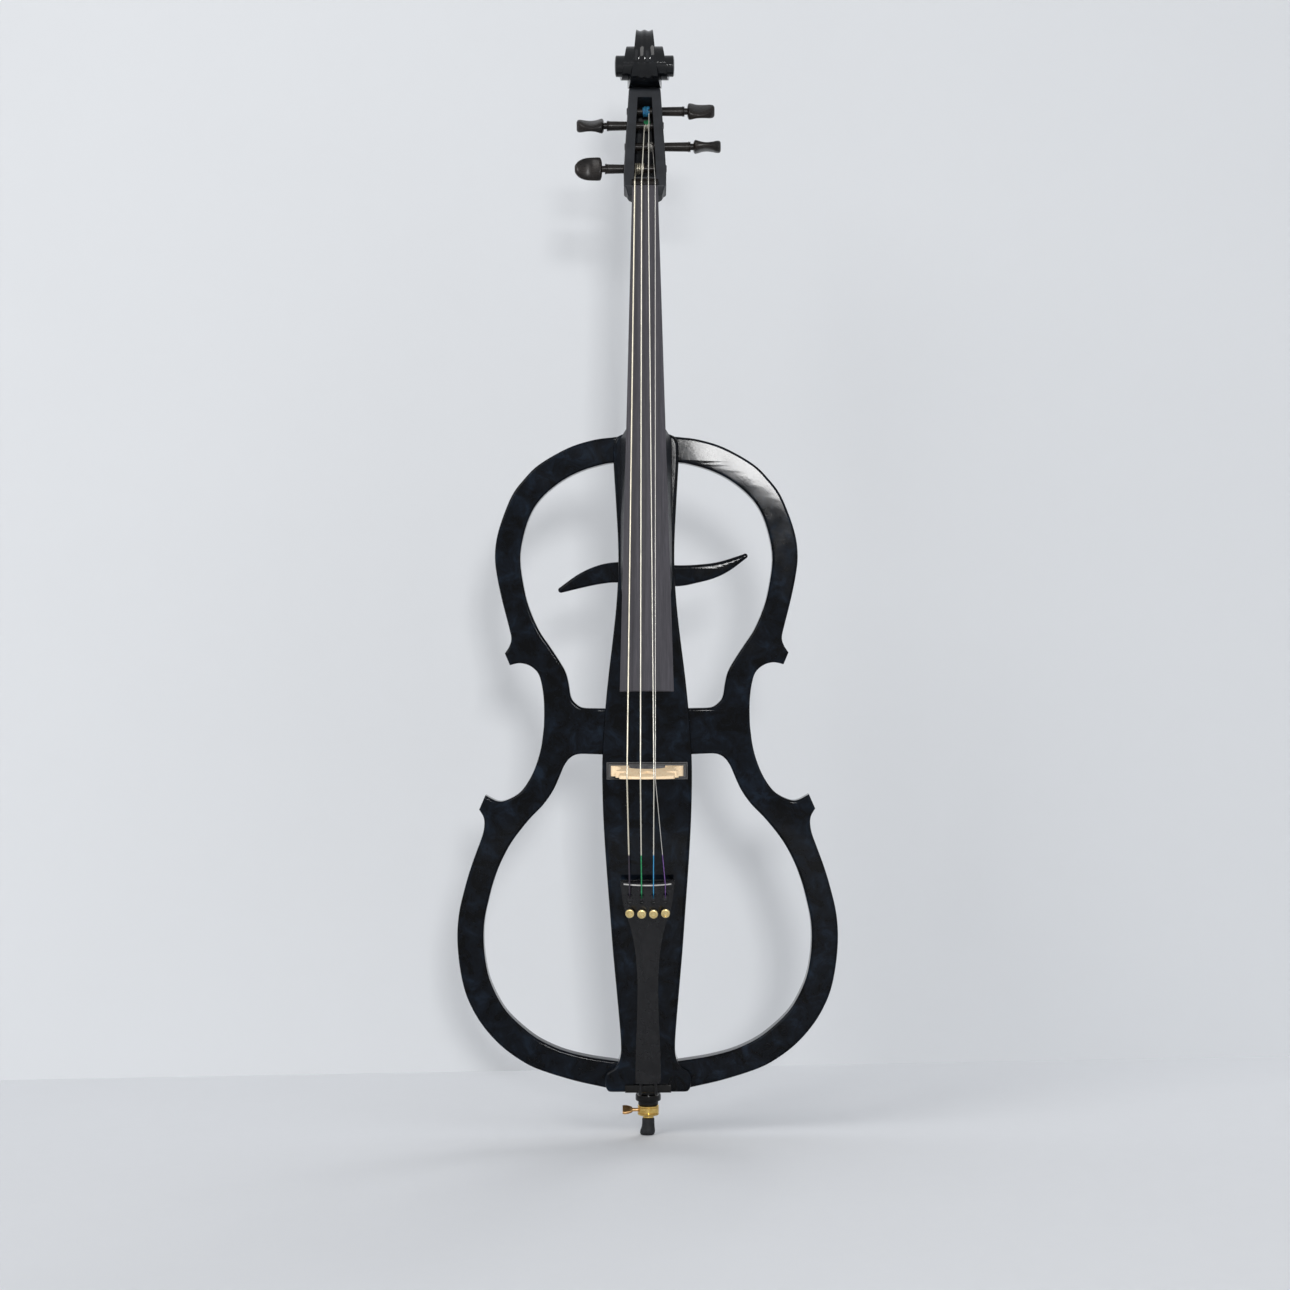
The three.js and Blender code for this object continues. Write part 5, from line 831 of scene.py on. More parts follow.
def neck_root():
    low = BODY_TOP - ROOT_LENGTH
    heights = [low + ROOT_SWEEP * (1 - cos(pi / 2 * step / ROOT_STEPS)) for step in range(ROOT_STEPS + 1)]
    rings = []
    for height in [*heights, low + ROOT_LENGTH / 2, BODY_TOP - OVERRUN, BODY_TOP + OVERRUN]:
        front = board_back_at(height) - CLEAR
        share = max(sin(min(max((height - low) / ROOT_SWEEP, 0), 1) * pi / 2), ROOT_LEAST)
        back = front + (SPINE_FRONT + CLEAR - front) * share
        half = level_half(height)
        wide = half if height > BODY_TOP else half + (ROOT_HALF - half) * share
        corners = ((-half, front), (half, front), (wide, back), (-wide, back))
        rings.append([(x, y, height) for x, y in corners])
    return skin("neck_root", rings)


def neck_heel():
    rings = []
    for step in range(HEEL_STEPS + 1):
        share = (step / HEEL_STEPS) ** HEEL_CURVE
        height = BODY_TOP - CLEAR + share * (HEEL_RISE + 2 * CLEAR)
        front = board_back_at(height) - CLEAR
        back = SPINE_FRONT + HEEL_DEPTH * (1 - sqrt(sin(share * pi / 2)))
        half = level_half(height)
        rings.append(level_ring(height, half, front, back, CLEAR, half * HEEL_ROUND))
    return skin("neck_heel", rings)


def pegbox():
    """The chin's rows are joined straight and the cheeks' rows smoothly, and the back's rounding fades
    out towards the scroll."""
    chin, cheeks = PEGBOX_SHARES[:3], PEGBOX_SHARES[3:]
    rings = []
    for height, half, front, back in [*chin, *smooth(cheeks, 6 * (len(cheeks) - 1))]:
        rounding = max(PEGBOX_ROUND * min((PEGBOX_FADE - height) / PEGBOX_FADE_LENGTH, 1), PEGBOX_EDGE)
        rings.append(level_ring(height * PEGBOX_HEIGHT, half * PEGBOX_HALF, max(front, 0) * PEGBOX_DEPTH,
                                back * PEGBOX_DEPTH, PEGBOX_EDGE, rounding, 5))
    room = [level_ring(height * CAVITY_HEIGHT, half * CAVITY_HALF, -OVERRUN, back * CAVITY_DEPTH,
                       CLEAR, CAVITY_ROUND, 4) for height, half, back in CAVITY_SHARES]
    return combined(skin("pegbox", rings, HEAD), [skin("cut_room", room, HEAD)])


def neck():
    whole = combined(neck_shaft(), [neck_root(), neck_heel(), pegbox()], "UNION")
    tools = [nut_blank("cut_nut", CLEAR)]
    for peg_plan in PEGS.values():
        far, near = peg_ends(peg_plan)
        taper = [(0, far - CLEAR), (PEG_SMALL + CLEAR, far - CLEAR), (PEG_LARGE + CLEAR, near), (0, near)]
        tools.append(turned("cut_bore", taper, on_peg(peg_plan), 32))
    return combined(whole, tools)


def scroll():
    """A spiral band that steps out from turn to turn up to its round eye, fluted along its back."""
    turn, last = SCROLL_STEPS, round(SCROLL_TURNS * SCROLL_STEPS)
    rows = []
    for step in range(last + 1):
        angle = 2 - SCROLL_TURNS + step / SCROLL_STEPS
        radius, width = [spline_at([(share,) for share in shares], min((angle + 0.5) / 2.5, 1))[0]
                         for shares in (SCROLL_RADIUS_SHARES, SCROLL_WIDTH_SHARES)]
        rows.append((SCROLL_RADIUS * radius, SCROLL_HALF * width, 2 * pi * angle))
    eye = SCROLL_RADIUS * SCROLL_RADIUS_SHARES[-1]
    quads = []

    def at(i, x, radius):
        return x, -radius * sin(rows[i][2]), radius * cos(rows[i][2])

    def strip(start, stop, first, second):
        quads.extend([first(i), first(i + 1), second(i + 1), second(i)] for i in range(start, stop))

    def back(share):
        depth = SCROLL_FLUTE * sin(pi * share) ** 2
        return lambda i: at(i, share * rows[i][1], rows[i][0] - depth * min(i / SCROLL_FADE, 1))

    def scoop(part):
        hollow = SCROLL_SCOOP * sin(pi * part)
        return lambda i: at(i, rows[i][1] - hollow, rows[i][0] + (rows[i + turn][0] - rows[i][0]) * part)

    def dome(lift, share):
        return lambda i: at(i, SCROLL_HALF + SCROLL_DOME * lift, eye * share)

    shares = [k / 10 for k in range(11)]
    for low, high in zip(shares, shares[1:]):
        strip(0, turn, back(low), back(high))
    rim = lambda i: at(i, rows[i][1], rows[i][0])
    inner = lambda i: at(i, rows[i - turn][1], rows[i][0])
    strip(turn, last, inner, rim)
    for part in range(4):
        strip(0, last - turn, scoop(part / 4), scoop((part + 1) / 4))
    walls = [rim, lambda i: at(i, rows[i][1], eye), *(dome(*row) for row in SCROLL_DOME_ROWS)]
    for low, high in zip(walls, walls[1:]):
        strip(last - turn, last, low, high)
    base = at(turn, 0, rows[turn][0])
    start = [back(share)(0) for share in shares] + [inner(turn)]
    quads.extend([base, first, second] for first, second in zip(start, start[1:]))
    both = quads + [[(-x, y, z) for x, y, z in reversed(face)] for face in quads]
    vertices = [point for face in both for point in face]
    faces, count = [], 0
    for face in both:
        faces.append(tuple(range(count, count + len(face))))
        count += len(face)
    made = solid("scroll_body", vertices, faces, Matrix.Translation(head_point(SCROLL_HEIGHT, SCROLL_DEPTH)))
    cleaned(made.data, SCROLL_MERGE)
    return softened(made, 0.5, 2, 50)


def nut_blank(name, gap=0):
    front, back = NUT_FRONT - gap, NUT_FRONT + NUT_DEPTH + gap
    outline = [(front, -gap), (front, 0), (front + NUT_DROP, NUT_CREST + gap),
               (front + NUT_DROP + NUT_FALL, NUT_LENGTH + gap), (back, NUT_LENGTH + gap), (back, -gap)]
    return across(name, [(y, NUT_PLACE + z) for y, z in outline], NUT_HALF + gap)


def nut():
    return softened(nut_blank("nut_body"), 0.5, 3)


# Pegs and their windings

def peg_ends(plan):
    half = PEGBOX_HALF * between(PEGBOX_SHARES, plan["height"] / PEGBOX_HEIGHT)[1]
    return -half - PEG_FLUSH, plan["reach"] - PEG_NECK_LENGTH - PEG_RING_LENGTH


def on_peg(plan):
    centre = head_point(plan["height"], plan["depth"])
    about = Matrix.Rotation(radians(plan["turn"]) - pi / 2, 4, "X")
    return spot(0, centre.y, centre.z, turn=pi if plan["side"] < 0 else 0) @ about @ ALONG_X


def peg(name):
    plan = PEGS[name]
    far, near = peg_ends(plan)
    reach, place = plan["reach"], on_peg(plan)
    beads = []
    for k in range(2):
        low, high = [near + CLEAR + end * PEG_RING_LENGTH / 2 for end in (k, k + 1)]
        slim = PEG_RING - 0.8
        beads += [(slim, low), (PEG_RING, low + 0.4), (PEG_RING, high - 0.7), (slim, high - 0.4)]
    shaft = turned(f"peg_{name}_body", [
        (0, far), (PEG_SMALL - 0.6, far), (PEG_SMALL, far + 0.6), (PEG_LARGE, near), *beads,
        (PEG_NECK, reach - PEG_NECK_LENGTH), (PEG_NECK, reach + PEG_NECK_LENGTH),
        (0, reach + PEG_NECK_LENGTH)], place)

    def bulge(value):
        return copysign(abs(value) ** PEG_HEAD_SQUARE, value)

    angles = [2 * pi * step / 32 for step in range(32)]
    rings = [[(thick * PEG_HEAD_THICK * bulge(cos(angle)), wide * PEG_HEAD_HALF * bulge(sin(angle)),
               reach + share * PEG_HEAD_LENGTH) for angle in angles]
             for share, wide, thick in smooth(PEG_HEAD_SHARES, 32)]
    return combined(shaft, [skin("peg_head", rings, place)], "UNION")


def winding_pitch(name):
    return 2 * WIRES[name] + WINDING_GAP


def winding_line(name):
    """A winding's radius and axis, the direction out to where its string leaves, and the string's own."""
    plan, wire = PEGS[name], WIRES[name]
    far, near = peg_ends(plan)
    ends = (plan["leaves"], plan["leaves"] + plan["runs"] * winding_pitch(name) * plan["loops"])
    shaft = max(PEG_SMALL + (PEG_LARGE - PEG_SMALL) * (x * plan["side"] - far) / (near - far) for x in ends)
    radius = shaft + CLEAR + wire
    axis = head_point(plan["height"], plan["depth"])
    towards = Vector((NUT_FRONT + NUT_DROP - CLEAR - wire - axis.y, NUT_PLACE + NUT_CREST - axis.z))
    lean = radius / towards.length
    towards.normalize()
    rest = sqrt(1 - lean ** 2)
    out = Vector((0, towards.x * lean + towards.y * rest, towards.y * lean - towards.x * rest))
    leave = Vector((0, towards.x * rest - towards.y * lean, towards.y * rest + towards.x * lean))
    return plan, wire, radius, axis, out, leave


def winding(name):
    plan, wire, radius, axis, out, leave = winding_line(name)
    pitch, points = winding_pitch(name), []
    for step in range(plan["loops"] * LOOP_STEPS + 1):
        angle = 2 * pi * step / LOOP_STEPS
        points.append(Vector((plan["leaves"] + plan["runs"] * pitch * angle / (2 * pi), axis.y, axis.z))
                      + radius * (out * cos(angle) - leave * sin(angle)))
    onward = (points[-1] - points[-2]).normalized() * 2 * wire
    return tube(f"winding_{name}_body", [points[0] + leave * 2 * wire, *points, points[-1] + onward], wire)


# Tailpiece and fine tuners

def tail_at(place):
    row = between(TAIL_SHARES, place / TAIL_LENGTH)
    return row[1] * TAIL_HALF, row[2] * TAIL_DROP, row[3] * TAIL_EDGE


def tail_face(x, place):
    half, drop, _ = tail_at(place)
    return drop * (x / half) ** 2


def tail_ring(place, section, inset=0, wall=0):
    half, drop, edge = section
    wide = half - inset
    arch = [(wide * share, drop * (wide * share / half) ** 2 + wall, -place) for share in ACROSS]
    back = drop + edge + (OVERRUN if wall else 0)
    return [*arch, (wide, back, -place), (-wide, back, -place)]


def tailpiece():
    rings = []
    for share, half, drop, edge in reversed(smooth(TAIL_SHARES, 66)):
        rings.append(tail_ring(share * TAIL_LENGTH, (half * TAIL_HALF, drop * TAIL_DROP, edge * TAIL_EDGE)))
    hollow = [(TAIL_MARGIN + TAIL_HOLLOW) * (1 - k / 10) + TAIL_MARGIN * k / 10 for k in range(11)]
    walls = [tail_ring(place, tail_at(place), TAIL_SIDE, TAIL_WALL) for place in hollow]
    tools = [skin("cut_hollow", walls, TAIL)]
    slot_round = SLOT_WIDTH / 2 - 0.1
    outline = rounded_box(SLOT_WIDTH / 2, -SLOT_TOP - SLOT_LENGTH, -SLOT_TOP, slot_round, slot_round)
    for x in TUNERS.values():
        slot = slab("cut_slot", outline, -OVERRUN, CLAW_DEPTH + OVERRUN)
        slot.data.transform(Matrix.Translation((x * MM, 0, 0)))
        room = block("cut_room", LEVER_WIDTH / 2 + 2 * CLEAR, CLAW_DEPTH - 2 * CLEAR,
                     TAIL_DROP + TAIL_EDGE + OVERRUN, -ARM_END - 2 * CLEAR, -TAIL_MARGIN, x, TAIL)
        tools += [moved(slot, TAIL), room, cylinder("cut_bore", SCREW_RADIUS + CLEAR, -OVERRUN, TAIL_BORE,
                                                    facing(x, -SCREW_PLACE, base=TAIL))]
    tools += [cylinder("cut_cord", CORD_BORE, -OVERRUN, CORD_HOLE_DEPTH,
                       TAIL @ spot(side * CORD_SPREAD, CORD_HOLE, -TAIL_LENGTH)) for side in SIDES.values()]
    return softened(combined(skin("tailpiece_body", rings, TAIL), tools), 0.5, 2, 35)


def tail_fret():
    half = tail_at(FRET_INSET)[0] * FRET_SHARE
    end = FRET_INSET + FRET_LENGTH
    low, high = [[(half * share, tail_face(half * share, end) - lift) for share in ACROSS]
                 for lift in (CLEAR, CLEAR + FRET_THICK)]
    made = slab("tail_fret_body", low + high[::-1], -end, -FRET_INSET, 0.5, flat="XY")
    return moved(made, TAIL)


def knob_under(x):
    return tail_face(max(abs(x) - KNOB_RADIUS, 0), SCREW_PLACE) - KNOB_STANDOFF


def tuner_screw(name):
    x = TUNERS[name]
    low, high = knob_under(x) - KNOB_BORE + CLEAR, SCREW_REACH
    count = round((high - low - 1) / (SCREW_PITCH / 2))
    thread = [(SCREW_RADIUS - THREAD_DEPTH * (k % 2), low + 0.5 + (high - low - 1) * k / count)
              for k in range(count + 1)]
    profile = [(0, low), (SCREW_RADIUS - 0.3, low), *thread, (SCREW_RADIUS - 0.5, high), (0, high)]
    return turned(f"tuner_screw_{name}_body", profile, facing(x, -SCREW_PLACE, base=TAIL), 24)


def tuner_knob(name):
    x = TUNERS[name]
    under = knob_under(x)
    top, wide, bore = under - KNOB_HEIGHT, KNOB_RADIUS, SCREW_RADIUS + CLEAR
    profile = [
        (0, top + 0.4), (2.3, top + 0.4), (2.5, top + 0.6), (2.8, top + 0.6), (3.1, top), (wide - 0.7, top),
        (wide - 0.2, top + 0.3), (wide, top + 0.7), (wide, top + 2), (wide, under - 0.9), (wide - 0.5, under),
        (bore, under), (bore, under - KNOB_BORE), (0, under - KNOB_BORE)]
    return turned(f"tuner_knob_{name}_body", profile, facing(x, -SCREW_PLACE, base=TAIL), 120,
                  (KNOB_FLUTES, KNOB_FLUTE_DEPTH, top + 0.6, under - 0.4))


def in_tail(x, y, z):
    return TAIL @ Vector((x, y, z))


def bent(points, reach=1.2, steps=5):
    """A line through corner points with each corner rounded over a short reach."""
    made = [points[0]]
    for before, corner, after in zip(points, points[1:], points[2:]):
        near = min(reach, (corner - before).length / 2, (after - corner).length / 2)
        start, stop = [corner + (end - corner).normalized() * near for end in (before, after)]
        for t in [k / steps for k in range(steps + 1)]:
            made.append((1 - t) ** 2 * start + 2 * t * (1 - t) * corner + t * t * stop)
    return made + [points[-1]]


def string(name):
    plan, wire, radius, axis, out, leave = winding_line(name)
    start = sqrt((radius + 2 * wire + CLEAR) ** 2 - radius ** 2)
    lift = CLEAR + wire
    bend = pi / 4 - atan2(NUT_LENGTH - NUT_CREST, NUT_FALL) / 2
    order = STRINGS.index(name) - 1.5
    nut_x, tail_x = order * NUT_SPACING, TUNERS[name]
    crown_x = BRIDGE_SPACING / 2 + SLIPPED if name == "a" else order * BRIDGE_SPACING
    crown_y = CROWN_FRONT + sag(CROWN_RADIUS, crown_x) - lift
    fret_top = tail_face(tail_x, FRET_INSET + FRET_LENGTH) - CLEAR - FRET_THICK
    return tube(f"string_{name}_body", bent([
        Vector((plan["leaves"], axis.y, axis.z)) + radius * out + start * leave,
        Vector((nut_x, NUT_FRONT + NUT_DROP - lift, NUT_PLACE + NUT_CREST + lift * tan(bend))),
        Vector((nut_x, NUT_FRONT - lift, NUT_PLACE)),
        Vector((crown_x, crown_y, CROWN_PLACE + CROWN_THICK / 2)),
        Vector((crown_x, crown_y, CROWN_PLACE - CROWN_THICK / 2)),
        in_tail(tail_x, fret_top - lift, -FRET_INSET - FRET_LENGTH / 2),
        in_tail(tail_x, tail_face(tail_x, SLOT_TOP) - lift, -SLOT_TOP),
        in_tail(tail_x, CLAW_DEPTH + CLAW_LENGTH - lift, -PIVOT_PLACE),
    ]), wire)


def string_ball(name):
    """The ball at the string's end, held in its lever's claw."""
    depth = CLAW_DEPTH + CLAW_LENGTH + BALL_SEAT
    place = TAIL @ spot(TUNERS[name], depth, -PIVOT_PLACE - BALL_DROP) @ ALONG_X
    return turned(f"string_ball_{name}", BALL_PROFILE, place, 32)


# Bridge

def bridge():
    height = BRIDGE_BASE - CROWN_FRONT

    def placed(shares, steps):
        return [(x * BRIDGE_HALF, BRIDGE_BASE - rise * height) for x, rise in smooth(shares, steps)]

    crown = []
    for step in range(33):
        x = BRIDGE_HALF * BRIDGE_CROWN_SHARE * (1 - step / 32)
        corner = BRIDGE_HALF * BRIDGE_CORNER_SHARE if step == 0 else 0
        crown.append((x, CROWN_FRONT + sag(CROWN_RADIUS, x) + corner))
    feet = [(BRIDGE_HALF / 2, BRIDGE_BASE), (BRIDGE_HALF, BRIDGE_BASE)]
    half = [*feet, *placed(BRIDGE_SIDE_SHARES, 40), *placed(BRIDGE_NOTCH_SHARES, 32), *crown]
    arch, heart = placed(BRIDGE_ARCH_SHARES, 40), placed(BRIDGE_HEART_SHARES, 36)
    outline = [*half, *mirrored(half[:-1]), *mirrored(arch[:-1][::-1]), *arch[::-1]]
    made = slab("bridge_body", outline, BRIDGE_LOW, BRIDGE_LOW + BRIDGE_FOOT, 0,
                [[*heart, *mirrored(heart[1:-1])]], flat="XY")
    foot, out = BRIDGE_FOOT - 0.01, CROWN_FRONT - OVERRUN
    wedge = [(BRIDGE_BASE + OVERRUN, -OVERRUN), (BRIDGE_BASE + OVERRUN, foot),
             (BRIDGE_BASE - BRIDGE_RISE_SHARE * height, foot), (CROWN_FRONT, CROWN_THICK),
             (out, CROWN_THICK), (out, -OVERRUN)]
    keep = across("keep_wedge", [(y, BRIDGE_LOW + z) for y, z in wedge], BRIDGE_HALF + OVERRUN)
    return softened(combined(made, [keep], "INTERSECT"), 0.45, 2, 50)


def bridge_tray():
    back, rise = SPINE_FRONT + POCKET_DEPTH - CLEAR, TRAY_HEIGHT / 2
    made = block("bridge_tray_body", TRAY_HALF, SPINE_FRONT - TRAY_PROUD, back,
                 TRAY_PLACE - rise, TRAY_PLACE + rise)
    inside = block("cut_inside", TRAY_HALF - TRAY_WALL, SPINE_FRONT - OVERRUN, back - TRAY_FLOOR,
                   TRAY_PLACE - rise + TRAY_WALL, TRAY_PLACE + rise - TRAY_WALL)
    return softened(combined(made, [inside]), 0.5, 3)


# Saddle, tail cord and end pin

def saddle():
    front, top = SPINE_FRONT - SADDLE_PROUD, BODY_BASE + SADDLE_HEIGHT
    back = front + SADDLE_DEPTH
    outline = [(back, BODY_BASE), (back, top), (front, top)]
    for angle in [pi + pi / 2 * step / 8 for step in range(9)]:
        outline.append((front + SADDLE_ROUND * (1 + cos(angle)),
                        BODY_BASE + SADDLE_ROUND * (1 + sin(angle))))
    return softened(across("saddle_body", outline, SADDLE_HALF), 0.6, 3)


def tail_gut():
    """One loop from the tailpiece over the saddle and round the end plug's groove."""
    lift = CORD_RADIUS + CLEAR
    loop, groove = PLUG_SLIM + lift, (PLUG_GROOVE + PLUG_SHAFT) / 2
    front, curve = SPINE_FRONT - SADDLE_PROUD - lift, SADDLE_ROUND + lift

    def half_line(sign):
        x = lambda share: sign * (CORD_SPREAD + (loop - CORD_SPREAD) * share)
        corners = [in_tail(x(0), CORD_HOLE, CORD_HOLE_DEPTH - TAIL_LENGTH - CLEAR),
                   in_tail(x(0), CORD_HOLE, -TAIL_LENGTH), Vector((x(0.1), front, BODY_BASE + SADDLE_HEIGHT))]
        for angle in [pi / 3 * step / 4 for step in range(5)]:
            corners.append(Vector((x(0.25), front + curve * (1 - cos(angle)),
                                   BODY_BASE + SADDLE_ROUND - curve * sin(angle))))
        return corners + [Vector((x(0.45), SPINE_FRONT - CLEAR, groove + CLEAR)), Vector((x(1), 0, groove))]

    behind = [Vector((loop * cos(angle), loop * sin(angle), groove))
              for angle in [pi * k / 24 for k in range(1, 24)]]
    return tube("tail_gut_body", bent([*half_line(1), *behind, *half_line(-1)[::-1]], 3, 3), CORD_RADIUS, 16)


def endpin_plug():
    bore, slim, wide, end = ROD_RADIUS + CLEAR, PLUG_NECK, PLUG_WIDE, PLUG_SHAFT + PLUG_LENGTH
    return turned("endpin_plug_body", [
        (bore, PLUG_BASE), (slim - 0.5, PLUG_BASE), (slim, PLUG_BASE + 0.5), (slim, PLUG_FLANGE - 0.6),
        (slim + 0.6, PLUG_FLANGE), (wide - 1.4, PLUG_FLANGE), (wide - 0.4, PLUG_FLANGE + 0.6),
        (wide, PLUG_FLANGE + 1.8), (wide, PLUG_GROOVE - 1.8), (wide - 0.4, PLUG_GROOVE - 0.6),
        (wide - 1.4, PLUG_GROOVE), (PLUG_SLIM, PLUG_GROOVE), (PLUG_SLIM, PLUG_SHAFT),
        (PLUG_ROUND, PLUG_SHAFT), (PLUG_ROUND - 1, end), (bore, end), (bore, PLUG_BASE)], sides=64)


def endpin_collar():
    bore, lip, wide, groove = ROD_RADIUS + CLEAR, LIP_RADIUS, COLLAR_RADIUS, COLLAR_RADIUS - COLLAR_GROOVE
    foot, low, high = FOOT_HEIGHT + CLEAR, COLLAR_LIP, COLLAR_TOP
    made = turned("endpin_collar_body", [
        (bore, foot), (lip - 0.4, foot), (lip, foot + CLEAR), (lip, low - 0.2), (lip + 0.4, low),
        (wide - 1.6, low), (wide - 0.5, low + 0.5), (wide, low + 1.4), (wide, low + 2.4), (groove, low + 2.8),
        (groove, low + 3.2), (wide - 0.1, low + 3.6), (wide - 0.1, high - 3), (groove, high - 2.6),
        (groove, high - 2.2), (wide, high - 1.8), (wide, high - 1), (wide - 1, high), (bore, high),
        (bore, foot)], sides=72)
    hole = cylinder("cut_thumb", THUMB_RADIUS + CLEAR, -wide - OVERRUN, 0, spot(z=THUMB_PLACE) @ ALONG_X)
    return combined(made, [hole])


def endpin_thumbscrew():
    place = spot(z=THUMB_PLACE) @ Matrix.Rotation(THUMB_TURN - pi / 2, 4, "X") @ ALONG_X
    end, tip, wide = -THUMB_REACH, -ROD_RADIUS - 2 * CLEAR, THUMB_RADIUS
    shank = turned("endpin_thumbscrew_body", [
        (0, end - wide), (wide, end - wide), (wide, end + 1), (wide - 0.3, end + 1.4),
        (wide - 0.3, tip - 0.4), (wide - 0.7, tip), (0, tip)], place, 32)
    rings, rounding = [], THUMB_THICK / 3
    for share in [step / 12 for step in range(13)]:
        half = THUMB_WIDTH / 2 * (1 - 0.5 * share ** 2.2) * (1 - 0.12 * (1 - share) ** 8)
        thick = THUMB_THICK / 2 * (0.9 + 0.1 * sin(pi * share))
        rings.append(level_ring(end - THUMB_WING * (1 - share), half, -thick, thick, rounding, rounding, 5))
    return softened(combined(shank, [skin("thumb_wing", rings, place)], "UNION"), 0.5, 2, 50)


def endpin_foot():
    socket, wide, top, high = ROD_RADIUS + CLEAR, FOOT_RADIUS, FOOT_TOP, FOOT_HEIGHT
    made = turned("endpin_foot_body", [
        (0, 0), (FOOT_FLAT, 0), (wide - 1, 0.7), (wide - 0.2, 2.2), (wide, 4.2), (wide - 0.2, 6.4),
        (top + 0.3, 10), (top, 14), (top, high - 1.2), (top - 0.4, high - 0.4), (top - 1.2, high),
        (socket, high), (socket, ROD_BASE - CLEAR), (0, ROD_BASE - CLEAR)], sides=64)
    for vertex in made.data.vertices:
        low = max(1 - vertex.co.z / (FOOT_BULGE_HEIGHT * MM), 0)
        way = 1 if vertex.co.x < 0 else 0.5
        vertex.co.x -= FOOT_BULGE * MM * low * way * (vertex.co.xy.length > ROD_RADIUS * MM)
    return made


def endpin_rod():
    wide = ROD_RADIUS
    return turned("endpin_rod_body", [(0, ROD_BASE), (wide - 0.5, ROD_BASE), (wide, ROD_BASE + 0.5),
                                      (wide, ROD_TOP - 0.8), (wide - 0.8, ROD_TOP), (0, ROD_TOP)])


# Controls

def cover_screw_spots():
    return [(side * (BAY_HALF + PLATE_MARGIN / 2), BAY_PLACE + end * (BAY_LENGTH + PLATE_MARGIN / 2))
            for side in SIDES.values() for end in (-1, 1)]


def control_cover():
    outline = bay_outline(PLATE_MARGIN, PLATE_CORNER)
    made = slab("control_cover_body", outline, SPINE_BACK - PLATE_THICK, SPINE_BACK, PLATE_EDGE)
    front, back = SPINE_BACK - OVERRUN, SPINE_BACK + OVERRUN
    bores = [(x, z, DIAL_HOLE) for x, z in KNOB_SPOTS.values()]
    bores += [(x, z, radius + CLEAR) for x, z, radius, *_ in JACKS.values()]
    bores += [(x, z, COVER_BORE) for x, z in cover_screw_spots()]
    tools = [cylinder("cut_bore", radius, front, back, facing(x, z), 40) for x, z, radius in bores]
    slide, rise = (SWITCH_NUB + SWITCH_TRAVEL) / 2 + CLEAR, SWITCH_NUB / 2 + CLEAR
    slot = block("cut_slot", slide, front, back, SWITCH_PLACE - rise, SWITCH_PLACE + rise)
    return combined(made, [*tools, slot])


def cover_screw(index):
    x, z = cover_screw_spots()[index]
    head, wide, slim = SPINE_BACK + CLEAR, COVER_HEAD, COVER_SCREW_RADIUS
    made = turned(f"cover_screw_{index + 1}_body", [
        (0, COVER_SCREW_TIP), (slim, COVER_SCREW_TIP), (slim, head), (wide, head), (wide - 0.1, head + 0.8),
        (wide - 0.7, head + 1.4), (wide - 1.7, head + 1.6), (0, head + 1.6)], facing(x, z), 32)
    return combined(made, [block("cut_bar", half, head + 0.7, head + 4, -rise, rise, place=spot(x, 0, z))
                           for half, rise in CROSS_BARS])


def dial(name):
    x, z = KNOB_SPOTS[name]
    low, bore, wide = SPINE_BACK + DIAL_GAP, DIAL_POST + CLEAR, DIAL_RADIUS
    high, floor = low + DIAL_HEIGHT, SPINE_BACK + DIAL_BORE
    made = turned(f"{name}_knob_body", [
        (bore, low), (wide - 0.3, low), (wide, low + 0.5), (wide - 0.1, low + 2), (wide - 0.5, low + 3),
        (wide - 0.7, high - 1.6), (wide - 1, high - 0.6), (wide - 1.7, high), (5, high), (4.6, high - 0.4),
        (0, high - 0.4), (0, floor), (bore, floor), (bore, low)],
        facing(x, z), 144, (DIAL_FLUTES, DIAL_FLUTE_DEPTH, low + 2.5, high - 1))
    mark = block("cut_mark", DIAL_MARK_HALF, high - 0.7, high + 2, DIAL_MARK_START, wide, place=spot(x, 0, z))
    return combined(made, [mark])


def jack(name):
    """A socket's barrel and washer, its washer cut to the six flats of a nut."""
    x, z, radius, bore, flange, flange_height, depth = JACKS[name]
    low, face, place = SPINE_BACK - depth, SPINE_BACK + CLEAR, facing(x, z)
    back, floor = face + flange_height, low + JACK_FLOOR
    barrel = turned(f"{name}_jack_body", [
        (0, low), (radius, low), (radius, face), (flange, face), (flange, back - 0.5), (flange - 0.6, back),
        (bore + 0.6, back), (bore, back - 0.5), (bore, floor), (0, floor)], place, 64)
    around = cylinder("cut_flats", 3 * flange, face + 0.01, back + 2, place)
    nut_shape = cylinder("keep_nut", flange, face, back + 3, place, 6)
    return softened(combined(barrel, [combined(around, [nut_shape])]), 0.2, 1, 50)


def power_switch():
    x, rise = -SWITCH_TRAVEL / 2, SWITCH_NUB / 2
    front = SPINE_BACK - PLATE_THICK - SWITCH_SHOE
    shoe = block("power_switch_body", SWITCH_NUB, front, SPINE_BACK - PLATE_THICK - 2 * CLEAR,
                 SWITCH_PLACE - rise, SWITCH_PLACE + rise, x)
    nub = block("switch_nub", rise, front + CLEAR, SPINE_BACK + SWITCH_RISE,
                SWITCH_PLACE - rise + CLEAR, SWITCH_PLACE + rise - CLEAR, x)
    return softened(combined(shoe, [nub], "UNION"), 0.3, 2)


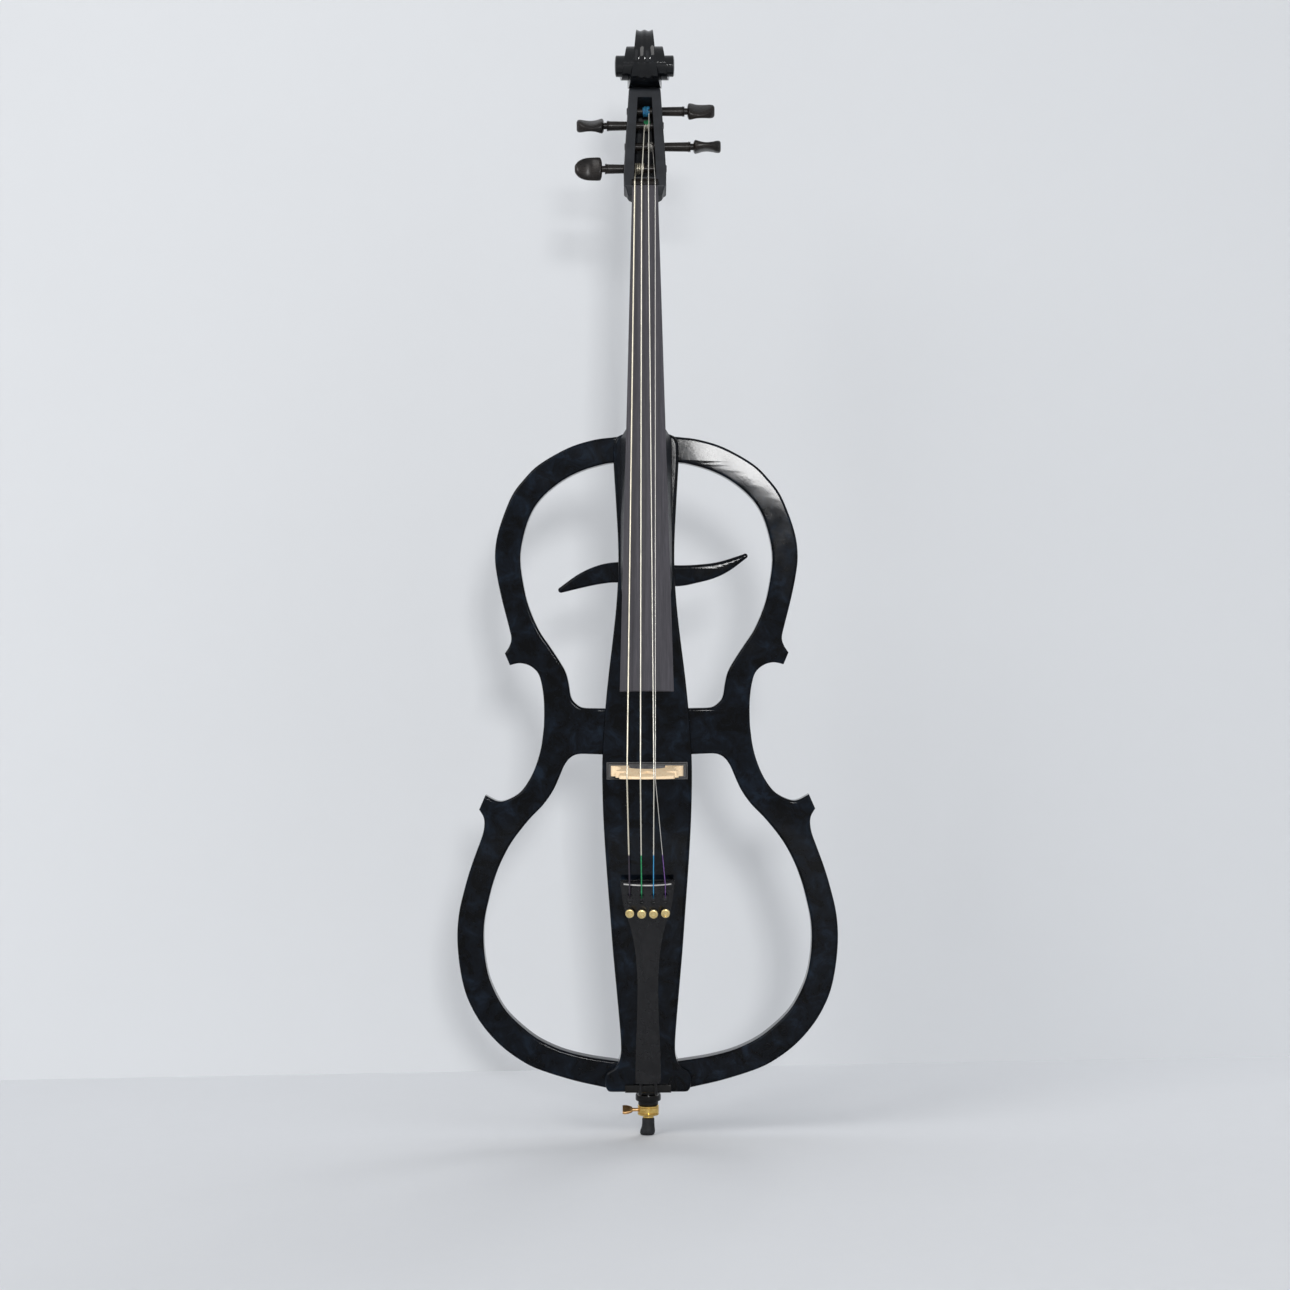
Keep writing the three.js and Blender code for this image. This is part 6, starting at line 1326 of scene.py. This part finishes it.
def battery_door():
    low, high = DOOR_PLACE - DOOR_RISE, DOOR_PLACE + DOOR_RISE
    outline = rounded_box(DOOR_HALF, low, high, DOOR_CORNER, DOOR_CORNER, 3)
    made = slab("battery_door_body", outline, SPINE_BACK - DOOR_THICK, SPINE_BACK, PLATE_EDGE)
    notch = turned("cut_notch", DOOR_NOTCH, facing(0, high - 2, SPINE_BACK), 40)
    starts = [DOOR_PLACE + RIB_START + RIB_STEP * k for k in range(RIB_COUNT)]
    ribs = [block("cut_rib", RIB_HALF, SPINE_BACK - RIB_DEPTH, SPINE_BACK + 1, start, start + 1)
            for start in starts]
    return combined(made, [notch, *ribs])


# The camera, the room and the light

def make_camera():
    data = bpy.data.cameras.new("camera")
    data.lens, data.sensor_width = CAMERA_LENS, CAMERA_SENSOR
    made = new_object("camera", data)
    made.location = CAMERA_SPOT
    made.rotation_euler = (pi / 2, CAMERA_ROLL, 0)
    bpy.context.scene.camera = made


def plane(name, corners, color, see_through):
    mesh = bpy.data.meshes.new(name)
    mesh.from_pydata(corners, [], [(0, 1, 2, 3)])
    mesh.materials.append(stage_material(name, color, see_through))
    made = new_object(name, mesh)


def make_room():
    reach = FLOOR_HALF
    corners = [(-reach, -reach, 0), (reach, -reach, 0), (reach, reach, 0), (-reach, reach, 0)]
    plane("floor", corners, FLOOR_COLOR, False)
    along = (Vector(WALL_RIGHT) - Vector(WALL_LEFT)).normalized()
    left, right = Vector(WALL_LEFT) - along * WALL_SPREAD, Vector(WALL_RIGHT) + along * WALL_SPREAD
    plane("wall", [(*left, 0), (*right, 0), (*right, WALL_HEIGHT), (*left, WALL_HEIGHT)], WALL_COLOR, True)


def make_world():
    """Soft light on the object, and a plain pale background where the camera or a mirror sees the world."""
    world = bpy.data.worlds.new("world")
    bpy.context.scene.world = world
    world.use_nodes = True
    tree = world.node_tree
    soft = tree.nodes["Background"]
    feed(tree, soft, {"Color": (*SOFT, 1), "Strength": SOFT_STRENGTH})
    pale = node(tree, "ShaderNodeBackground", {"Color": (*PALE, 1), "Strength": 1.0})
    path = node(tree, "ShaderNodeLightPath")
    seen = path.outputs["Is Camera Ray"]
    for kind in ("Is Glossy Ray", "Is Transmission Ray"):
        seen = maths(tree, "MAXIMUM", seen, path.outputs[kind])
    mix = node(tree, "ShaderNodeMixShader", {0: seen, 1: soft.outputs[0], 2: pale.outputs[0]})
    tree.links.new(mix.outputs[0], tree.nodes["World Output"].inputs["Surface"])


def make_lights():
    for name, (where, target, size, power, color) in LAMPS.items():
        data = bpy.data.lights.new(name, "AREA")
        data.shape, data.size, data.energy, data.color = "SQUARE", size, power, color
        made = new_object(name, data)
        made.location = where
        made.rotation_euler = (Vector(target) - Vector(where)).to_track_quat("-Z", "Y").to_euler()


# The pickup in the tray under the bridge and the levers inside the tuner slots take a steel darkened with
# painted shade.
SHADE_DARKENED_NODES = {"pickup", *(f"lever_{name}" for name in STRINGS)}


def dress_cad():
    """Carried-over CAD nodes keep their shapes and take procedural finishes."""
    finishes = {s["node"]: s["material_slot"] for s in frame["record"]["subparts"]}
    for name, thing in frame["nodes"].items():
        if thing.hide_render:
            continue
        thing.data.materials.clear()
        # Listed nodes take the steel darkened with painted shade.
        thing.data.materials.append(MATERIALS["dark_steel" if name in SHADE_DARKENED_NODES else finishes[name]])
        edges = thing.modifiers.new("edges", "BEVEL")
        edges.width, edges.segments, edges.limit_method = CAD_EDGE * MM, 2, "ANGLE"


def dress_string(name):
    """One string with its peg, its winding and its fine tuner."""
    axis = head_point(PEGS[name]["height"], PEGS[name]["depth"]).z
    for word, drop, silk_bottom in zip(("string", "winding"), SILK_DROPS[name], (TAIL_SILK, 0)):
        made = string_material(f"{word}_{name}", STRING_LOOKS[name], (axis - drop) * MM, silk_bottom)
        MATERIALS[f"{word}_{name}"] = made
    dressed(peg(name), "ebony", f"peg_{name}_set")
    dressed(winding(name), f"winding_{name}", f"peg_{name}_set")
    dressed(string(name), f"string_{name}")
    dressed(tuner_screw(name), "pale_brass", f"tuner_{name}_screw")
    dressed(tuner_knob(name), "pale_brass", f"tuner_{name}_knob")
    # The ball in its claw inside the tuner slot takes the same steel darkened with painted shade.
    dressed(string_ball(name), "dark_steel", f"tuner_{name}_lever")


def build():
    dressed(spine(), "lacquer")
    for word in SIDES:
        dressed(wing(word), "lacquer")
    dressed(chest_rest(), "lacquer")
    for word in SIDES:
        dressed(rest_screw(word), "steel")
    dressed(neck(), "satin")
    dressed(scroll(), "gloss", stands_for="neck")
    for make, finish, slot in (
            (fingerboard, "board", "board"), (nut, "ebony", "ebony"), (bridge, "maple", "maple"),
            (bridge_tray, "tray", "tray"), (tailpiece, "composite", "composite"),
            # The fret's pale grey is a painted highlight on black composite.
            (tail_fret, "fret", "composite"), (saddle, "polished", "ebony"), (tail_gut, "cord", "cord"),
            (endpin_plug, "polished", "composite"), (endpin_collar, "brass", "brass")):
        dressed(make(), finish)
    dressed(endpin_thumbscrew(), "worn_brass", "thumbscrew")
    dressed(endpin_rod(), "steel", "endpin")
    dressed(endpin_foot(), "rubber", "endpin")
    for name in STRINGS:
        dress_string(name)
    dressed(control_cover(), "plastic")
    for index in range(len(cover_screw_spots())):
        dressed(cover_screw(index), "steel")
    for name in KNOB_SPOTS:
        dressed(dial(name), "plastic", name)
    for name in JACKS:
        dressed(jack(name), "steel")
    dressed(power_switch(), "steel", "switch")
    dressed(battery_door(), "plastic", "door")
    dress_cad()


bpy.context.scene.view_settings.view_transform = "Standard"
make_camera()
make_room()
make_world()
make_lights()
build()
